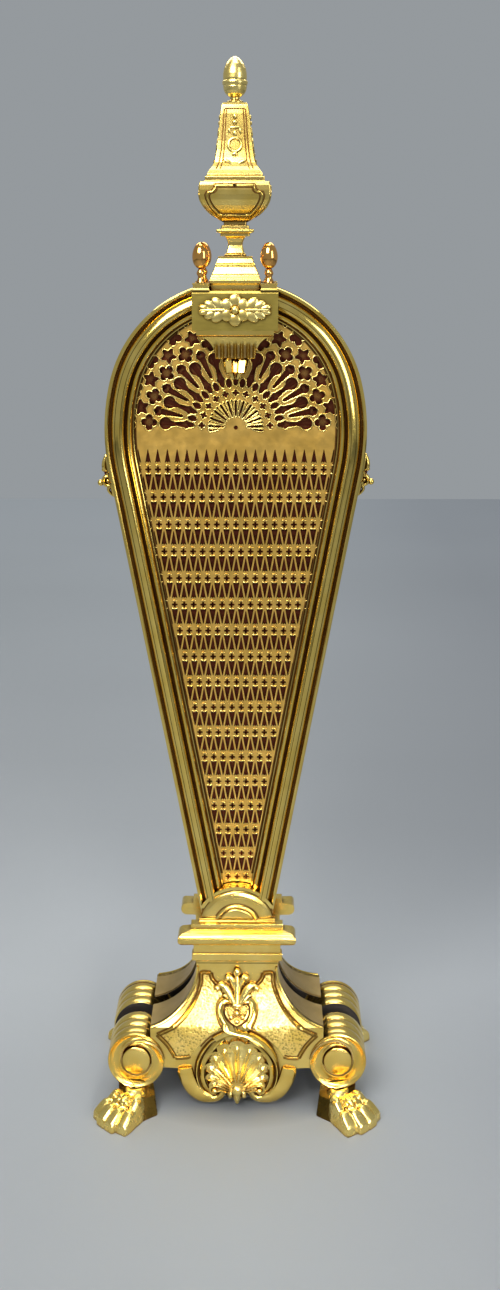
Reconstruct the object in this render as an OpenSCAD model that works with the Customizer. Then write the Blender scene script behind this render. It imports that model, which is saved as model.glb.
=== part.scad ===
// Fan-shaped brass fire screen, closed: two flared hollow castings on paw feet carry a
// pear-shaped frame, a stack of pierced leaves that turn on one pivot, and a crest with an urn.
// Millimetres. +Z is up, the front faces -Y, the origin is on the floor under the middle.

/* [Feet and base castings] */
// Height of the middle of the corner scrolls above the floor
scroll_z = 40.9; // [39:0.1:43]
// Distance of each corner scroll from the middle of the screen
scroll_x = 78.6; // [77:0.1:80]
// Radius of a corner scroll
scroll_r = 23.2; // [22.5:0.1:23.5]
// Height of a rib above the scroll's barrel
rib_h = 1.4; // [1:0.1:2]
// Half depth of the whole base at its face
base_d = 40; // [39:0.5:44]
// Half width of the gap between the two castings
slot_d = 6.6; // [6.5:0.1:7.2]
// Wall of the castings
wall = 4; // [3:0.25:4.5]
// Height of the top of the castings
body_z = 120.4; // [118:0.2:122]
// Half width of the castings at their top
body_w = 31.8; // [31:0.1:33]
// Half depth of the castings at their top
body_d = 23; // [22.5:0.1:24]
// Radius of the hollow flare down each side
side_flare_r = 44.3; // [43:0.1:46]
// Radius of the hollow flare down the face
face_flare_r = 64; // [60:1:70]
// Radius of the two round lobes of the apron
lobe_r = 18; // [17:0.1:19]
// Radius of the tie rods through the castings
rod_r = 2.6; // [2:0.1:3]
// Length of a toe from the middle of the paw to near its tip
toe_reach = 24; // [22:0.5:26]
// Turn of each paw outward from straight ahead
paw_turn = 15; // [10:1:20]
// Angle between one toe and the next
toe_gap = 20; // [18:0.5:22]

/* [Cornice] */
// Height of the neck under the round moulding
neck_h = 16.4; // [15:0.2:18]
// Thickness of the round moulding
torus_h = 9.9; // [9:0.1:11]
// How far the round moulding stands out from the neck
torus_out = 11.6; // [10:0.1:12.5]
// Height of the lower step above the round moulding
step_h = 4.7; // [4.2:0.1:5.5]
// Height of the upper step
top_step_h = 2; // [1.6:0.1:2.5]

/* [Frames and panels] */
// Radius of the top of the frame
arch_r = 89.9; // [88:0.1:91]
// Height of the middle of the frame's top
arch_z = 538; // [530:0.5:542]
// Radius of the frame's shoulders
shoulder_r = 145.3; // [140:0.1:150]
// Angle above level at which the top meets the shoulders
shoulder_a = 14.6; // [13:0.2:16]
// Half width of the frame at the height of the pivot
foot_half = 26.237; // [26:0.05:26.6]
// Width of the moulded band of the frame
band_w = 20.4; // [20:0.1:21]
// Thickness of the frame at its highest moulding
frame_t = 11; // [10.5:0.25:12]
// Thickness of the sheet of the fixed panels
panel_t = 1; // [0.8:0.1:1.2]
// Height of the pivot of the fan
pivot_z = 147.3; // [146.5:0.1:148]
// Radius of the pivot rod
pivot_r = 4; // [3.5:0.1:4.5]
// Radius of the arched plate round the pivot
hub_r = 31.1; // [30:0.1:32]

/* [Leaves] */
// Number of leaves on each side
leaf_count = 4; // [4:1:4]
// Thickness of a leaf
leaf_t = 0.9; // [0.7:0.1:1.1]
// Distance from one leaf to the next in the stack
leaf_pitch = 1.5; // [1.4:0.05:1.55]
// How far a leaf's edge lies inside the frame's outer edge
leaf_inset = 12; // [12:0.1:13]
// Turn from one leaf to the next when the fan is open
leaf_step = 20; // [18:0.5:20]
// Radius of the round tail of a leaf
tail_r = 13.6; // [13.6:0.1:15]
// Number of long slots in the fan pattern of a leaf
ray_count = 9; // [5:2:13]
// Distance between the rows of the lattice
row_h = 19.74; // [18:0.1:26]
// Height of the upper rivets on the legs of the frame
rivet_top = 430; // [425:1:435]
// Distance between the rivets on the legs
rivet_pitch = 100; // [90:1:100]
// Distance between the columns of the lattice
column_w = 13.78; // [12:0.5:18]

/* [Crest] */
// Half width of the crest block
block_w = 29; // [28.5:0.1:30]
// Half depth of the crest block
block_d = 27; // [26.5:0.1:29]
// Height of the crest block
block_h = 25.9; // [25:0.1:28]
// How far the top of the crest block lies below the crown of the frame
block_sink = 6.4; // [5.4:0.1:7.4]
// Distance of each corner knob from the middle
knob_x = 22.8; // [22:0.1:23.2]
// Radius of a knob's egg
egg_r = 5.8; // [5:0.1:6]
// Height of the pedestal under the urn
pedestal_h = 22.4; // [21:0.1:24]
// Height of the stem between pedestal and bowl
stem_h = 21.9; // [21:0.1:23]
// Height of the bowl and its lid step
bowl_h = 29.1; // [28:0.1:31]
// Half width of the bowl
bowl_w = 23.6; // [23:0.1:25]
// Height of the obelisk
obelisk_h = 46.1; // [44:0.1:48]
// Half width of the obelisk at its foot
obelisk_w = 18.6; // [18:0.1:20]
// Radius of the acorn
acorn_r = 7.9; // [7.4:0.1:8.4]
// Height of the acorn finial
acorn_h = 29; // [28:0.1:31]

/* [Hidden] */
$fn = 48;

brass = [0.80, 0.66, 0.28];
satin = [0.71, 0.55, 0.24];
copper = [0.72, 0.47, 0.22];
steel = [0.55, 0.55, 0.56];

// Clearances between pieces that only touch, and round pins that turn or slide in their holes
seat_gap = 0.3;
run_gap = 0.05;
over = 1;

// Base castings
flare_end = scroll_x - scroll_r * 0.5;
flare_z = body_z - 6.6;
side_flare_x = body_w + side_flare_r - 0.2;
face_flare_y = body_d + face_flare_r;
face_foot = flare_z - sqrt(pow(face_flare_r, 2) - pow(face_flare_y - base_d, 2));
flare_foot = min(flare_z - side_flare_r, face_foot - 0.8);
apron_t = wall + 1;
apron_w = scroll_x - scroll_r + 5;
notch_z = scroll_z - 6.4;
lobe_x = 24.5;
lobe_z = lobe_r + 3.8;
barrel_r = scroll_r + rib_h;
scroll_hollow_r = scroll_r - wall;
boss_r = 6;
upper_tie_x = 20;
upper_tie_z = body_z - 22;
rod_hole_r = rod_r + run_gap;
scroll_rod_l = base_d - 12;
upper_rod_l = body_d - 6;
relief = 2;

// Paws, for the one at +x, -y
heel_l = 30;
heel_w = 17.5;
heel_h = 24;
heel_lean = 15;
heel_shift = 6;
heel_in = 17.4;
heel_front = 12;
ball_r = 14;
ball_z = 12;
ball_out = 6.4;
ball_front = 8;
ball_x = scroll_x + ball_out;
ball_y = -base_d - ball_front;
ankle_w = 9;

// Cornice, whose back stands clear of the frames
neck_w = body_w + 1.8;
neck_d = body_d + 1.5;
fillet_h = 5.6;
fillet_out = 1.2;
frame_face = slot_d + frame_t;
cornice_back = frame_face + seat_gap;
torus_z = body_z + neck_h;
torus_r = torus_h / 2;
step_z = torus_z + torus_h;
top_step_z = step_z + step_h;
cornice_top = top_step_z + top_step_h;
step_out = 1.7;
cove_rise = 0.8;
top_step_in = 4.4;
cornice_wall = 3;

// Frame outline: a top arc, a shoulder arc on each side and straight legs down to the foot half width
shoulder_x = (shoulder_r - arch_r) * cos(shoulder_a);
shoulder_z = arch_z - (shoulder_r - arch_r) * sin(shoulder_a);
foot_run = foot_half + shoulder_x;
foot_drop = shoulder_z - pivot_z;
leg_a = atan2(foot_drop, foot_run) - acos(shoulder_r / norm([foot_run, foot_drop]));
leg_top_z = shoulder_z - shoulder_r * sin(leg_a);
leg_top_x = shoulder_r * cos(leg_a) - shoulder_x;
leg_foot_z = cornice_top + 1.5;
leg_l = (leg_top_z - leg_foot_z) / cos(leg_a);
rebate_t = panel_t + 0.2;
rebate_w = 4;
hub_plate_t = frame_t - 3;
hub_face = slot_d + hub_plate_t;
cover_r = hub_r - 3.1;
cover_t = 5.8;

// Leaf stack, from front to back: left leaves, then right leaves
stack_n = 2 * leaf_count;
stack_front = -leaf_pitch * (stack_n - 1) / 2;
pin_r = 1.2;
pin_z_low = 24;
pin_z_high = 31;
ear_z = 492;
ear_w = 13;
ear_out = 5;
ear_root = 3;
handle_t = 12;

// Stop bolts, which the outermost leaves meet when the fan is open
sleeve_r = 4.7;
stop_x = 17;
edge_d = tail_edge(leaf_inset);
open_a = leaf_count * leaf_step;
stop_drop = edge_d / sin(open_a + leg_a) - stop_x / tan(open_a + leg_a);
stop_z = pivot_z - stop_drop - sleeve_r - seat_gap;
bolt_r = 2.5;
nut_r = 4.6;
nut_t = 3;

// Crest
block_z = arch_z + arch_r - block_sink;
block_foot = block_z - block_h;
bridge_t = 3.7;
channel_d = frame_face + seat_gap;
pedestal_z = block_z + pedestal_h;
stem_z = pedestal_z + stem_h;
bowl_z = stem_z + bowl_h;
obelisk_z = bowl_z + obelisk_h;
plinth_h = 5.1;
plinth_w = 5.75;
egg_h = 17.3;
knob_y = 21;
finial_rod_r = 2;
rod_in_acorn = 12;

// Height and lean of things on the frame's outline, inset by t
function leg_x(z, t) = leg_top_x - t / cos(leg_a) + (z - leg_top_z) * tan(leg_a);
function tail_edge(t) = leg_x(pivot_z, t) * cos(leg_a);
function arc_pts(cx, cz, r, a0, a1, n) =
  [for (i = [0:n]) let (a = a0 + (a1 - a0) * i / n) [cx + r * cos(a), cz + r * sin(a)]];
function flip_x(pts) = [for (i = [len(pts) - 1:-1:0]) [-pts[i][0], pts[i][1]]];
function half_pear(t, z_low) = concat(
  [[leg_x(z_low, t), z_low]],
  arc_pts(-shoulder_x, shoulder_z, shoulder_r - t, -leg_a, shoulder_a, 6),
  [for (p = arc_pts(0, arch_z, arch_r - t, shoulder_a, 90, 14)) if (p[0] < 0.9 * arch_r) p]);
function pear_pts(t, z_low) = let (h = half_pear(t, z_low))
  concat(h, [for (p = flip_x(h)) if (p[0] < -0.01) p]);

// Lays a flat outline of x and z upright, with its thickness from y = -d0 to y = -d1
module upright(d0, d1) {
  translate([0, -d0, 0])
    rotate([90, 0, 0])
      linear_extrude(d1 - d0)
        children();
}

// Square-plan solid whose half width follows pts, a list of half width and height
module square_turned(pts) {
  outline = concat(pts, flip_x(pts));
  reach = 2 * max([for (p = pts) p[0]]) + 2;
  intersection() {
    rotate([90, 0, 0])
      linear_extrude(reach, center = true)
        polygon(outline);
    rotate([90, 0, 90])
      linear_extrude(reach, center = true)
        polygon(outline);
  }
}

// The rear copy of a front piece, turned half a turn about the screen's middle
module rear() {
  rotate([0, 0, 180])
    children();
}

// Hollow-sided body of a casting, grown outward by g
module flare_solid(g, foot) {
  intersection() {
    upright(slot_d, base_d + over)
      difference() {
        translate([-flare_end - g, foot])
          square([2 * (flare_end + g), body_z + g - foot]);
        for (s = [-1, 1])
          translate([s * side_flare_x, flare_z])
            circle(r = side_flare_r - g, $fn = 96);
      }
    rotate([90, 0, 90])
      linear_extrude(2 * scroll_x, center = true)
        difference() {
          translate([-base_d - g, foot])
            square([base_d + g - slot_d, body_z + g - foot]);
          translate([-face_flare_y, flare_z])
            circle(r = face_flare_r - g, $fn = 96);
        }
  }
}

// Outline of the apron between the scrolls, with its two round lobes
module apron_outline() {
  translate([-apron_w, notch_z])
    square([2 * apron_w, face_foot + over - notch_z]);
  translate([-lobe_x - lobe_r * 0.98, lobe_z])
    square([2 * (lobe_x + lobe_r * 0.98), notch_z - lobe_z + over]);
  for (s = [-1, 1])
    translate([s * lobe_x, lobe_z])
      circle(r = lobe_r);
  translate([-12, lobe_z - 8])
    square([24, 16]);
  translate([0, lobe_z - 10])
    circle(r = 4);
}

// Turned profile of a corner scroll: ribbed barrel, face with a raised rim, and the eye
module scroll_profile() {
  rib_pitch = (base_d - slot_d) / 3;
  rib_arc_r = rib_pitch * 0.45;
  difference() {
    union() {
      translate([0, slot_d])
        square([scroll_r, base_d - slot_d - relief]);
      intersection() {
        translate([0, slot_d])
          square([barrel_r + over, base_d - slot_d - relief]);
        for (i = [0:2])
          translate([barrel_r - rib_arc_r, slot_d + rib_pitch * (i + 0.5)])
            circle(r = rib_arc_r);
      }
      translate([scroll_r - 4.3, base_d - wall - relief])
        square([4.3, wall + relief]);
    }
    translate([boss_r, slot_d - over])
      square([scroll_hollow_r - boss_r, base_d - slot_d - wall - relief + over]);
  }
}

module scroll_block() {
  rotate([90, 0, 0])
    rotate_extrude($fn = 72)
      scroll_profile();
  translate([0, -base_d + relief, 0])
    sphere(r = relief * 3.2);
}

// Shell of tapered flutes with a round hinge
module shell_relief() {
  shell_r = 38;
  flute_n = 7;
  fan_a = 104;
  hinge_z = lobe_z - 3;
  translate([0, -base_d, hinge_z]) {
    for (i = [0:flute_n - 1])
      rotate([0, -fan_a / 2 + fan_a * i / (flute_n - 1), 0])
        cylinder(h = shell_r - abs(i - (flute_n - 1) / 2) * 3, r1 = 1.2, r2 = 3.4, $fn = 24);
    sphere(r = 5, $fn = 32);
  }
}

// Flat outline of the fleur: stem, centre bead, side volutes and the crescent under them
module fleur_outline() {
  stem_x = 1.6;
  translate([-stem_x, 84])
    square([2 * stem_x, 24]);
  translate([0, 109])
    circle(r = 3);
  for (s = [-1, 1]) {
    translate([s * 5.5, 104])
      circle(r = 3);
    translate([s * 10, 96])
      difference() {
        circle(r = 5.5);
        circle(r = 2.4);
      }
    translate([s * 4.4, 93])
      square([8, 4], center = true);
  }
  translate([0, 76])
    difference() {
      circle(r = 11);
      translate([0, 3])
        circle(r = 8);
    }
}

// Raised border band that runs beside the flared edges and round the corner scrolls
module strap_outline() {
  band = 2;
  inset = 9;
  difference() {
    translate([-flare_end, face_foot - 3])
      square([2 * flare_end, body_z - face_foot - 4]);
    for (s = [-1, 1])
      translate([s * side_flare_x, flare_z])
        circle(r = side_flare_r + inset, $fn = 96);
    translate([-flare_end - over, face_foot - 3 - over])
      square([2 * (flare_end + over), over + 4]);
    difference() {
      translate([-flare_end, face_foot - 4])
        square([2 * flare_end, body_z - face_foot - 3 - band]);
      for (s = [-1, 1])
        translate([s * side_flare_x, flare_z])
          circle(r = side_flare_r + inset + band, $fn = 96);
    }
  }
}

// Raised scroll bands round the shell
module shell_band_outline() {
  arch_band_r = 37;
  band = 4.5;
  shell_z = lobe_z + 3;
  intersection() {
    translate([0, shell_z])
      difference() {
        circle(r = arch_band_r);
        circle(r = arch_band_r - band);
      }
    translate([-arch_band_r - over, shell_z + 6])
      square([2 * (arch_band_r + over), arch_band_r]);
  }
  for (s = [-1, 1])
    translate([s * lobe_x, lobe_z])
      difference() {
        circle(r = lobe_r - 0.5);
        circle(r = lobe_r - 0.5 - band);
        translate([-s * lobe_r - lobe_r * 1.1, 0])
          square([2.2 * lobe_r, lobe_r]);
      }
}

module base_casting() {
  color(brass)
    difference() {
      union() {
        difference() {
          union() {
            flare_solid(0, flare_foot);
            intersection() {
              flare_solid(1.4, flare_foot);
              upright(body_d - 6, base_d + over)
                union() {
                  fleur_outline();
                  strap_outline();
                }
            }
          }
          translate([0, over, 0])
            flare_solid(-wall, flare_foot - over);
        }
        upright(base_d - apron_t, base_d)
          apron_outline();
        upright(base_d - over, base_d + relief)
          shell_band_outline();
        shell_relief();
        for (s = [-1, 1]) {
          translate([s * scroll_x, 0, scroll_z])
            scroll_block();
          upright(slot_d, upper_rod_l + 5)
            translate([s * upper_tie_x, upper_tie_z])
              circle(r = boss_r);
        }
      }
      for (s = [-1, 1]) {
        translate([s * scroll_x, 0, scroll_z])
          rotate([90, 0, 0])
            cylinder(h = scroll_rod_l + run_gap, r = rod_hole_r);
        translate([s * upper_tie_x, 0, upper_tie_z])
          rotate([90, 0, 0])
            cylinder(h = upper_rod_l + run_gap, r = rod_hole_r);
        translate([s * stud_x(), stud_y(), 0])
          cylinder(h = scroll_z, r = stud_r() + run_gap);
      }
    }
}

module front_base_casting() {
  base_casting();
}

module rear_base_casting() {
  rear()
    base_casting();
}

// Place and size of the stud that holds a paw, for the paw at +x, -y
function stud_r() = 2.5;
function stud_x() = scroll_x;
function stud_y() = -(base_d + slot_d) / 2 - 3;

// Profile of the cornice as half width and height, on a neck of half width w
module cornice_profile(w) {
  translate([0, body_z])
    square([w + fillet_out, fillet_h]);
  translate([0, body_z])
    square([w, neck_h + torus_h]);
  translate([0, torus_z])
    square([w + torus_out - torus_r, torus_h]);
  translate([w + torus_out - torus_r, torus_z + torus_r])
    circle(r = torus_r);
  polygon([[0, step_z], [w + torus_out - torus_r - 1, step_z],
           [w + step_out, step_z + cove_rise], [w + step_out, top_step_z], [0, top_step_z]]);
  translate([0, top_step_z])
    square([w - top_step_in, top_step_h]);
}

module cornice() {
  reach = neck_w + torus_out + over;
  color(brass)
    difference() {
      intersection() {
        upright(cornice_back, neck_d + torus_out + over)
          for (m = [0, 1])
            mirror([m, 0])
              cornice_profile(neck_w);
        rotate([90, 0, 90])
          linear_extrude(2 * reach, center = true)
            mirror([1, 0])
              cornice_profile(neck_d);
      }
      translate([-neck_w + cornice_wall, -neck_d + cornice_wall, body_z + cornice_wall])
        cube([2 * (neck_w - cornice_wall), neck_d, step_z - body_z - 2 * cornice_wall]);
    }
}

module front_cornice() {
  cornice();
}

module rear_cornice() {
  rear()
    cornice();
}

// One toe, flat-faced: its plan and its side view with the knuckle, cut from each other
module toe(a, reach) {
  plan = [[0, 4.4], [reach - 14, 4.8], [reach - 9, 5.5], [reach - 4, 5.3], [reach + 1, 4.8],
          [reach + 3.6, 3.4], [reach + 5, 1.2]];
  side = [[-1, 2], [-1, 15], [reach - 15, 20], [reach - 11, 19.6], [reach - 8.5, 16.2],
          [reach - 4.6, 15.4], [reach - 1.6, 12.2], [reach + 0.4, 9.4], [reach + 3, 8.4],
          [reach + 4.7, 6], [reach + 5.2, 3], [reach + 4, 0.4], [reach + 3, -1], [0, -1]];
  rotate([0, 0, a])
    intersection() {
      translate([0, 0, -2])
        linear_extrude(26)
          polygon(concat(plan, [for (i = [len(plan) - 1:-1:0]) [plan[i][0], -plan[i][1]]]));
      rotate([90, 0, 0])
        linear_extrude(14, center = true)
          polygon(side);
    }
}

// Paw under the scroll of the front right corner: a leaning heel block, the ball and four toes
module paw_shape() {
  heel_a = -37;
  heel_floor = [[0, 0], [heel_w, 0], [heel_w + 8, 14], [heel_w, heel_l], [0, heel_l]];
  heel_head = [for (q = heel_floor) q[1] == 0 ? [q[0] - heel_shift, heel_lean] : q];
  scroll_foot = scroll_z - barrel_r;
  difference() {
    union() {
      translate([scroll_x - heel_in, -base_d - heel_front, 0])
        rotate([0, 0, heel_a])
          hull() {
            linear_extrude(1)
              polygon(heel_floor);
            translate([0, 0, heel_h - 1])
              linear_extrude(1)
                polygon(heel_head);
          }
      translate([ball_x, ball_y, ball_z])
        sphere(r = ball_r, $fn = 40);
      translate([ball_x, ball_y, 0])
        for (i = [-1.5:1:1.5])
          toe(paw_turn - 90 + i * toe_gap, toe_reach);
      translate([scroll_x - ankle_w, -base_d + 0.4, 4])
        cube([2 * ankle_w, base_d - 18, scroll_foot + 8]);
    }
    translate([scroll_x, over, scroll_z])
      rotate([90, 0, 0])
        cylinder(h = base_d + over + seat_gap, r = barrel_r + seat_gap);
    translate([0, -4 * base_d, -2 * base_d])
      cube([4 * base_d, 8 * base_d, 2 * base_d]);
    translate([stud_x(), stud_y(), 8])
      cylinder(h = scroll_z, r = stud_r() + run_gap);
  }
}

module paw(mx, my) {
  color(brass)
    mirror([mx, 0, 0])
      mirror([0, my, 0])
        paw_shape();
}

module front_left_paw() {
  paw(1, 0);
}

module front_right_paw() {
  paw(0, 0);
}

module rear_left_paw() {
  paw(1, 1);
}

module rear_right_paw() {
  paw(0, 1);
}

// Places a child at the stud of each of the four paws
module at_studs() {
  for (mx = [-1, 1], my = [-1, 1])
    translate([mx * stud_x(), my * stud_y(), 0])
      children();
}

stud_seat = scroll_z - scroll_hollow_r + 1.1;

module paw_studs() {
  color(steel)
    at_studs()
      translate([0, 0, 8 + run_gap])
        cylinder(h = stud_seat + nut_t - 6, r = stud_r());
}

module paw_nuts() {
  color(steel)
    at_studs()
      translate([0, 0, stud_seat])
        difference() {
          cylinder(h = nut_t, r = nut_r, $fn = 6);
          translate([0, 0, -over])
            cylinder(h = nut_t + 2 * over, r = stud_r() + run_gap);
        }
}

// Places a child at each tie between the castings, the axis along y, with its half length
module at_ties(upper) {
  x = upper ? upper_tie_x : scroll_x;
  z = upper ? upper_tie_z : scroll_z;
  for (s = [-1, 1])
    translate([s * x, 0, z])
      rotate([90, 0, 0])
        children();
}

module base_tie_rods() {
  color(steel) {
    at_ties(false)
      cylinder(h = 2 * scroll_rod_l, r = rod_r, center = true);
    at_ties(true)
      cylinder(h = 2 * upper_rod_l, r = rod_r, center = true);
  }
}

module sleeve(outer, inner) {
  difference() {
    cylinder(h = 2 * slot_d - 2 * run_gap, r = outer, center = true);
    cylinder(h = 2 * slot_d + over, r = inner, center = true);
  }
}

module base_spacers() {
  color(brass)
    for (upper = [false, true])
      at_ties(upper)
        sleeve(boss_r, rod_hole_r);
}

// Cross-section of the frame: x is the distance in from the outer edge, y the height
module frame_section(r) {
  t = frame_t;
  b = band_w;
  pts = [
    [0, 0], [0, t * 0.44], [0.5, t * 0.6], [1.6, t * 0.66], [2.7, t * 0.6], [3.2, t * 0.5],
    [4.6, t * 0.56], [5.6, t * 0.76], [7.4, t * 0.9], [9.4, t * 0.98], [11, t], [12.4, t * 0.97],
    [13.4, t * 0.85], [13.8, t * 0.5], [15.6, t * 0.44], [16.2, t * 0.56], [17.6, t * 0.62],
    [19, t * 0.56], [b - 1, t * 0.36], [b, t * 0.3], [b, rebate_t], [b - rebate_w, rebate_t],
    [b - rebate_w, 0]
  ];
  polygon([for (p = pts) [r - p[0], p[1]]]);
}

// Arc of frame moulding about the origin, lying flat, from angle a0 to a1
module frame_arc(r, a0, a1) {
  rotate([0, 0, a0])
    rotate_extrude(angle = a1 - a0, $fn = 120)
      frame_section(r);
}

// Brazed joint band, a little proud in front and a little shy behind
module joint_section(r) {
  t = frame_t + 0.15;
  b = band_w - 0.2;
  pts = [
    [-0.15, 0.3], [-0.15, t * 0.46], [0.4, t * 0.62], [1.6, t * 0.68], [2.8, t * 0.62],
    [3.3, t * 0.53], [4.5, t * 0.59], [5.5, t * 0.79], [7.4, t * 0.93], [9.4, t], [11, t + 0.1],
    [12.5, t * 0.99], [13.6, t * 0.86], [14, t * 0.52], [15.5, t * 0.47], [16.1, t * 0.58],
    [17.6, t * 0.64], [19.1, t * 0.58], [b - 0.8, t * 0.4], [b, t * 0.33], [b, rebate_t + 0.3],
    [b - rebate_w, rebate_t + 0.3], [b - rebate_w, 0.3]
  ];
  polygon([for (p = pts) [r - p[0], p[1]]]);
}

module frame_moulding() {
  joint_a = 0.15;
  joint_l = 1.4;
  translate([0, arch_z, 0])
    frame_arc(arch_r, shoulder_a + joint_a, 180 - shoulder_a - joint_a);
  for (m = [0, 1])
    mirror([m, 0, 0]) {
      translate([0, arch_z, 0])
        rotate([90, 0, shoulder_a])
          linear_extrude(joint_l, center = true)
            joint_section(arch_r);
      translate([-shoulder_x, shoulder_z, 0]) {
        frame_arc(shoulder_r, -leg_a, shoulder_a - joint_a);
        rotate([0, 0, -leg_a])
          rotate([90, 0, 0])
            linear_extrude(leg_l)
              frame_section(shoulder_r);
      }
    }
}

// Plate that joins the feet of the two legs and carries the pivot
module hub_plate_outline() {
  top = pivot_z + hub_r + over;
  inset = 1;
  intersection() {
    polygon([[leg_x(body_z, inset), body_z], [leg_x(top, inset), top],
             [-leg_x(top, inset), top], [-leg_x(body_z, inset), body_z]]);
    union() {
      translate([0, pivot_z])
        circle(r = hub_r, $fn = 72);
      translate([-hub_r, body_z])
        square([2 * hub_r, leg_foot_z + 6 - body_z]);
    }
  }
}

module frame() {
  color(brass)
    difference() {
      union() {
        translate([0, -slot_d, 0])
          rotate([90, 0, 0])
            frame_moulding();
        upright(slot_d + 0.1, hub_face)
          hub_plate_outline();
        upright(hub_face - over, frame_face - 1)
          intersection() {
            hub_plate_outline();
            translate([0, pivot_z])
              difference() {
                circle(r = hub_r, $fn = 72);
                circle(r = hub_r - 2.5, $fn = 72);
                translate([-2 * hub_r, -4 * hub_r + leg_foot_z - pivot_z])
                  square(4 * hub_r);
              }
          }
      }
      translate([-block_w - seat_gap, -frame_face - over, block_z - bridge_t - seat_gap])
        cube([2 * (block_w + seat_gap), frame_t + 2 * over, 2 * block_h]);
      translate([0, -slot_d + over, pivot_z])
        rotate([90, 0, 0])
          cylinder(h = frame_t + 2 * over, r = pivot_r + run_gap);
      translate([0, -hub_face + 0.2, pivot_z])
        rotate([90, 0, 0])
          cylinder(h = frame_t, r = cover_r + seat_gap, $fn = 72);
      for (s = [-1, 1]) {
        translate([s * stop_x, -slot_d + over, stop_z])
          rotate([90, 0, 0])
            cylinder(h = frame_t + 2 * over, r = bolt_r + run_gap);
        translate([s * screw_x, -frame_face - over, screw_z])
          rotate([-90, 0, 0])
            cylinder(h = frame_t, r = screw_r + run_gap);
      }
      for (p = rivet_spots())
        translate([p[0], -slot_d + over, p[1]])
          rotate([90, 0, 0])
            cylinder(h = over + 5, r = rivet_r);
    }
}

module front_frame() {
  frame();
}

module rear_frame() {
  rear()
    frame();
}

// Rivets that hold a panel to the rebate of its frame
rivet_r = 1;
rivet_t = 0.5;
function rivet_spots() = let (t = band_w - 2)
  concat(
    [for (s = [-1, 1], i = [2:-1:0]) let (z = rivet_top - i * rivet_pitch) [s * leg_x(z, t), z]],
    [for (a = [10, 50, 130, 170]) [(arch_r - t) * cos(a), arch_z + (arch_r - t) * sin(a)]]);

// One long keyhole slot of the fan pattern, pointing along +x
module ray_slot(r0, r1, w) {
  polygon([[r0, -w * 0.2], [r0 + (r1 - r0) * 0.6, -w * 0.35], [r1 - w * 0.5, -w * 0.5],
           [r1, 0], [r1 - w * 0.5, w * 0.5], [r0 + (r1 - r0) * 0.6, w * 0.35], [r0, w * 0.2]]);
}

// Fan pattern about the middle of the arch
module fan_holes(n, r_edge) {
  step = 180 / (n + 1);
  for (i = [0:n])
    rotate(step * (i + 0.5)) {
      ray_slot(r_edge * 0.36, r_edge * 0.8, 6.4);
      translate([r_edge * 0.91, 0])
        circle(r = 3, $fn = 4);
    }
  for (i = [1:n])
    rotate(step * i) {
      ray_slot(r_edge * 0.12, r_edge * 0.3, 2.6);
      ray_slot(r_edge * 0.46, r_edge * 0.74, 3.2);
      translate([r_edge * 0.84, 0])
        circle(r = 2.4, $fn = 4);
    }
}

// Lattice below the fan: staggered rows of tall lozenges, as wide as the sheet allows
module lattice_holes(t, z_top, z_low, col) {
  rows = floor((z_top - z_low) / row_h);
  for (j = [0:rows - 1]) {
    z = z_top - row_h * (j + 0.5);
    room = leg_x(min(z, leg_top_z) - row_h / 2, t) - 2;
    cols = floor(room / col);
    shift = (j % 2) / 2;
    for (i = [-cols:1:cols])
      if (abs(i + shift) * col + col * 0.3 < room)
        translate([(i + shift) * col, z])
          polygon([[0, -row_h * 0.44], [col * 0.28, 0], [0, row_h * 0.44], [-col * 0.28, 0]]);
  }
}

fan_z = arch_z - 9.8;
lattice_top = arch_z - 25;

module panel() {
  panel_inset = band_w - rebate_w + 0.3;
  foot = pivot_z + hub_r + 0.3;
  color(satin)
    upright(slot_d + 0.1, slot_d + 0.1 + panel_t)
      difference() {
        polygon(pear_pts(panel_inset, foot - 6));
        translate([0, pivot_z])
          circle(r = hub_r + 0.6, $fn = 72);
        translate([0, fan_z])
          fan_holes(2 * ray_count - 1, arch_r - band_w);
        lattice_holes(band_w, lattice_top, foot + 8, column_w * 0.7);
        for (p = rivet_spots())
          translate(p)
            circle(r = rivet_r);
      }
}

module front_panel() {
  panel();
}

module rear_panel() {
  rear()
    panel();
}

module panel_rivets() {
  color(brass)
    for (p = rivet_spots())
      translate([p[0], -slot_d + rivet_t, p[1]])
        rotate([90, 0, 0]) {
          cylinder(h = rivet_t, r = rivet_r * 1.8);
          cylinder(h = 4.5, r = rivet_r);
        }
}

module front_panel_rivets() {
  panel_rivets();
}

module rear_panel_rivets() {
  rear()
    panel_rivets();
}

// Half-round cover over the hub with its two raised ridges
module hub_cover() {
  foot = cornice_top + seat_gap;
  color(brass)
    difference() {
      translate([0, -hub_face - seat_gap, pivot_z])
        rotate([90, 0, 0])
          rotate_extrude($fn = 72)
            polygon([[0, 0], [cover_r, 0], [cover_r, cover_t - 2], [cover_r - 1, cover_t - 0.6],
                     [cover_r - 2.4, cover_t], [cover_r - 4, cover_t - 0.6], [cover_r - 5, cover_t - 2],
                     [cover_r - 8, cover_t - 2], [cover_r - 9, cover_t - 0.8], [cover_r - 10.5, cover_t - 0.2],
                     [0, cover_t - 0.2]]);
      translate([-2 * hub_r, -3 * hub_r, foot - 4 * hub_r])
        cube([4 * hub_r, 4 * hub_r, 4 * hub_r]);
      translate([0, -hub_face, pivot_z])
        rotate([90, 0, 0])
          cylinder(h = 5, r = nut_r * 1.9 + 1);
    }
}

module front_hub_cover() {
  hub_cover();
}

module rear_hub_cover() {
  rear()
    hub_cover();
}

pivot_nut_r = 7.4;
pivot_nut_t = 2.4;

module pivot_rod() {
  color(steel)
    translate([0, 0, pivot_z])
      rotate([90, 0, 0])
        cylinder(h = 2 * (hub_face + seat_gap + pivot_nut_t + 0.3), r = pivot_r, center = true);
}

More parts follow.
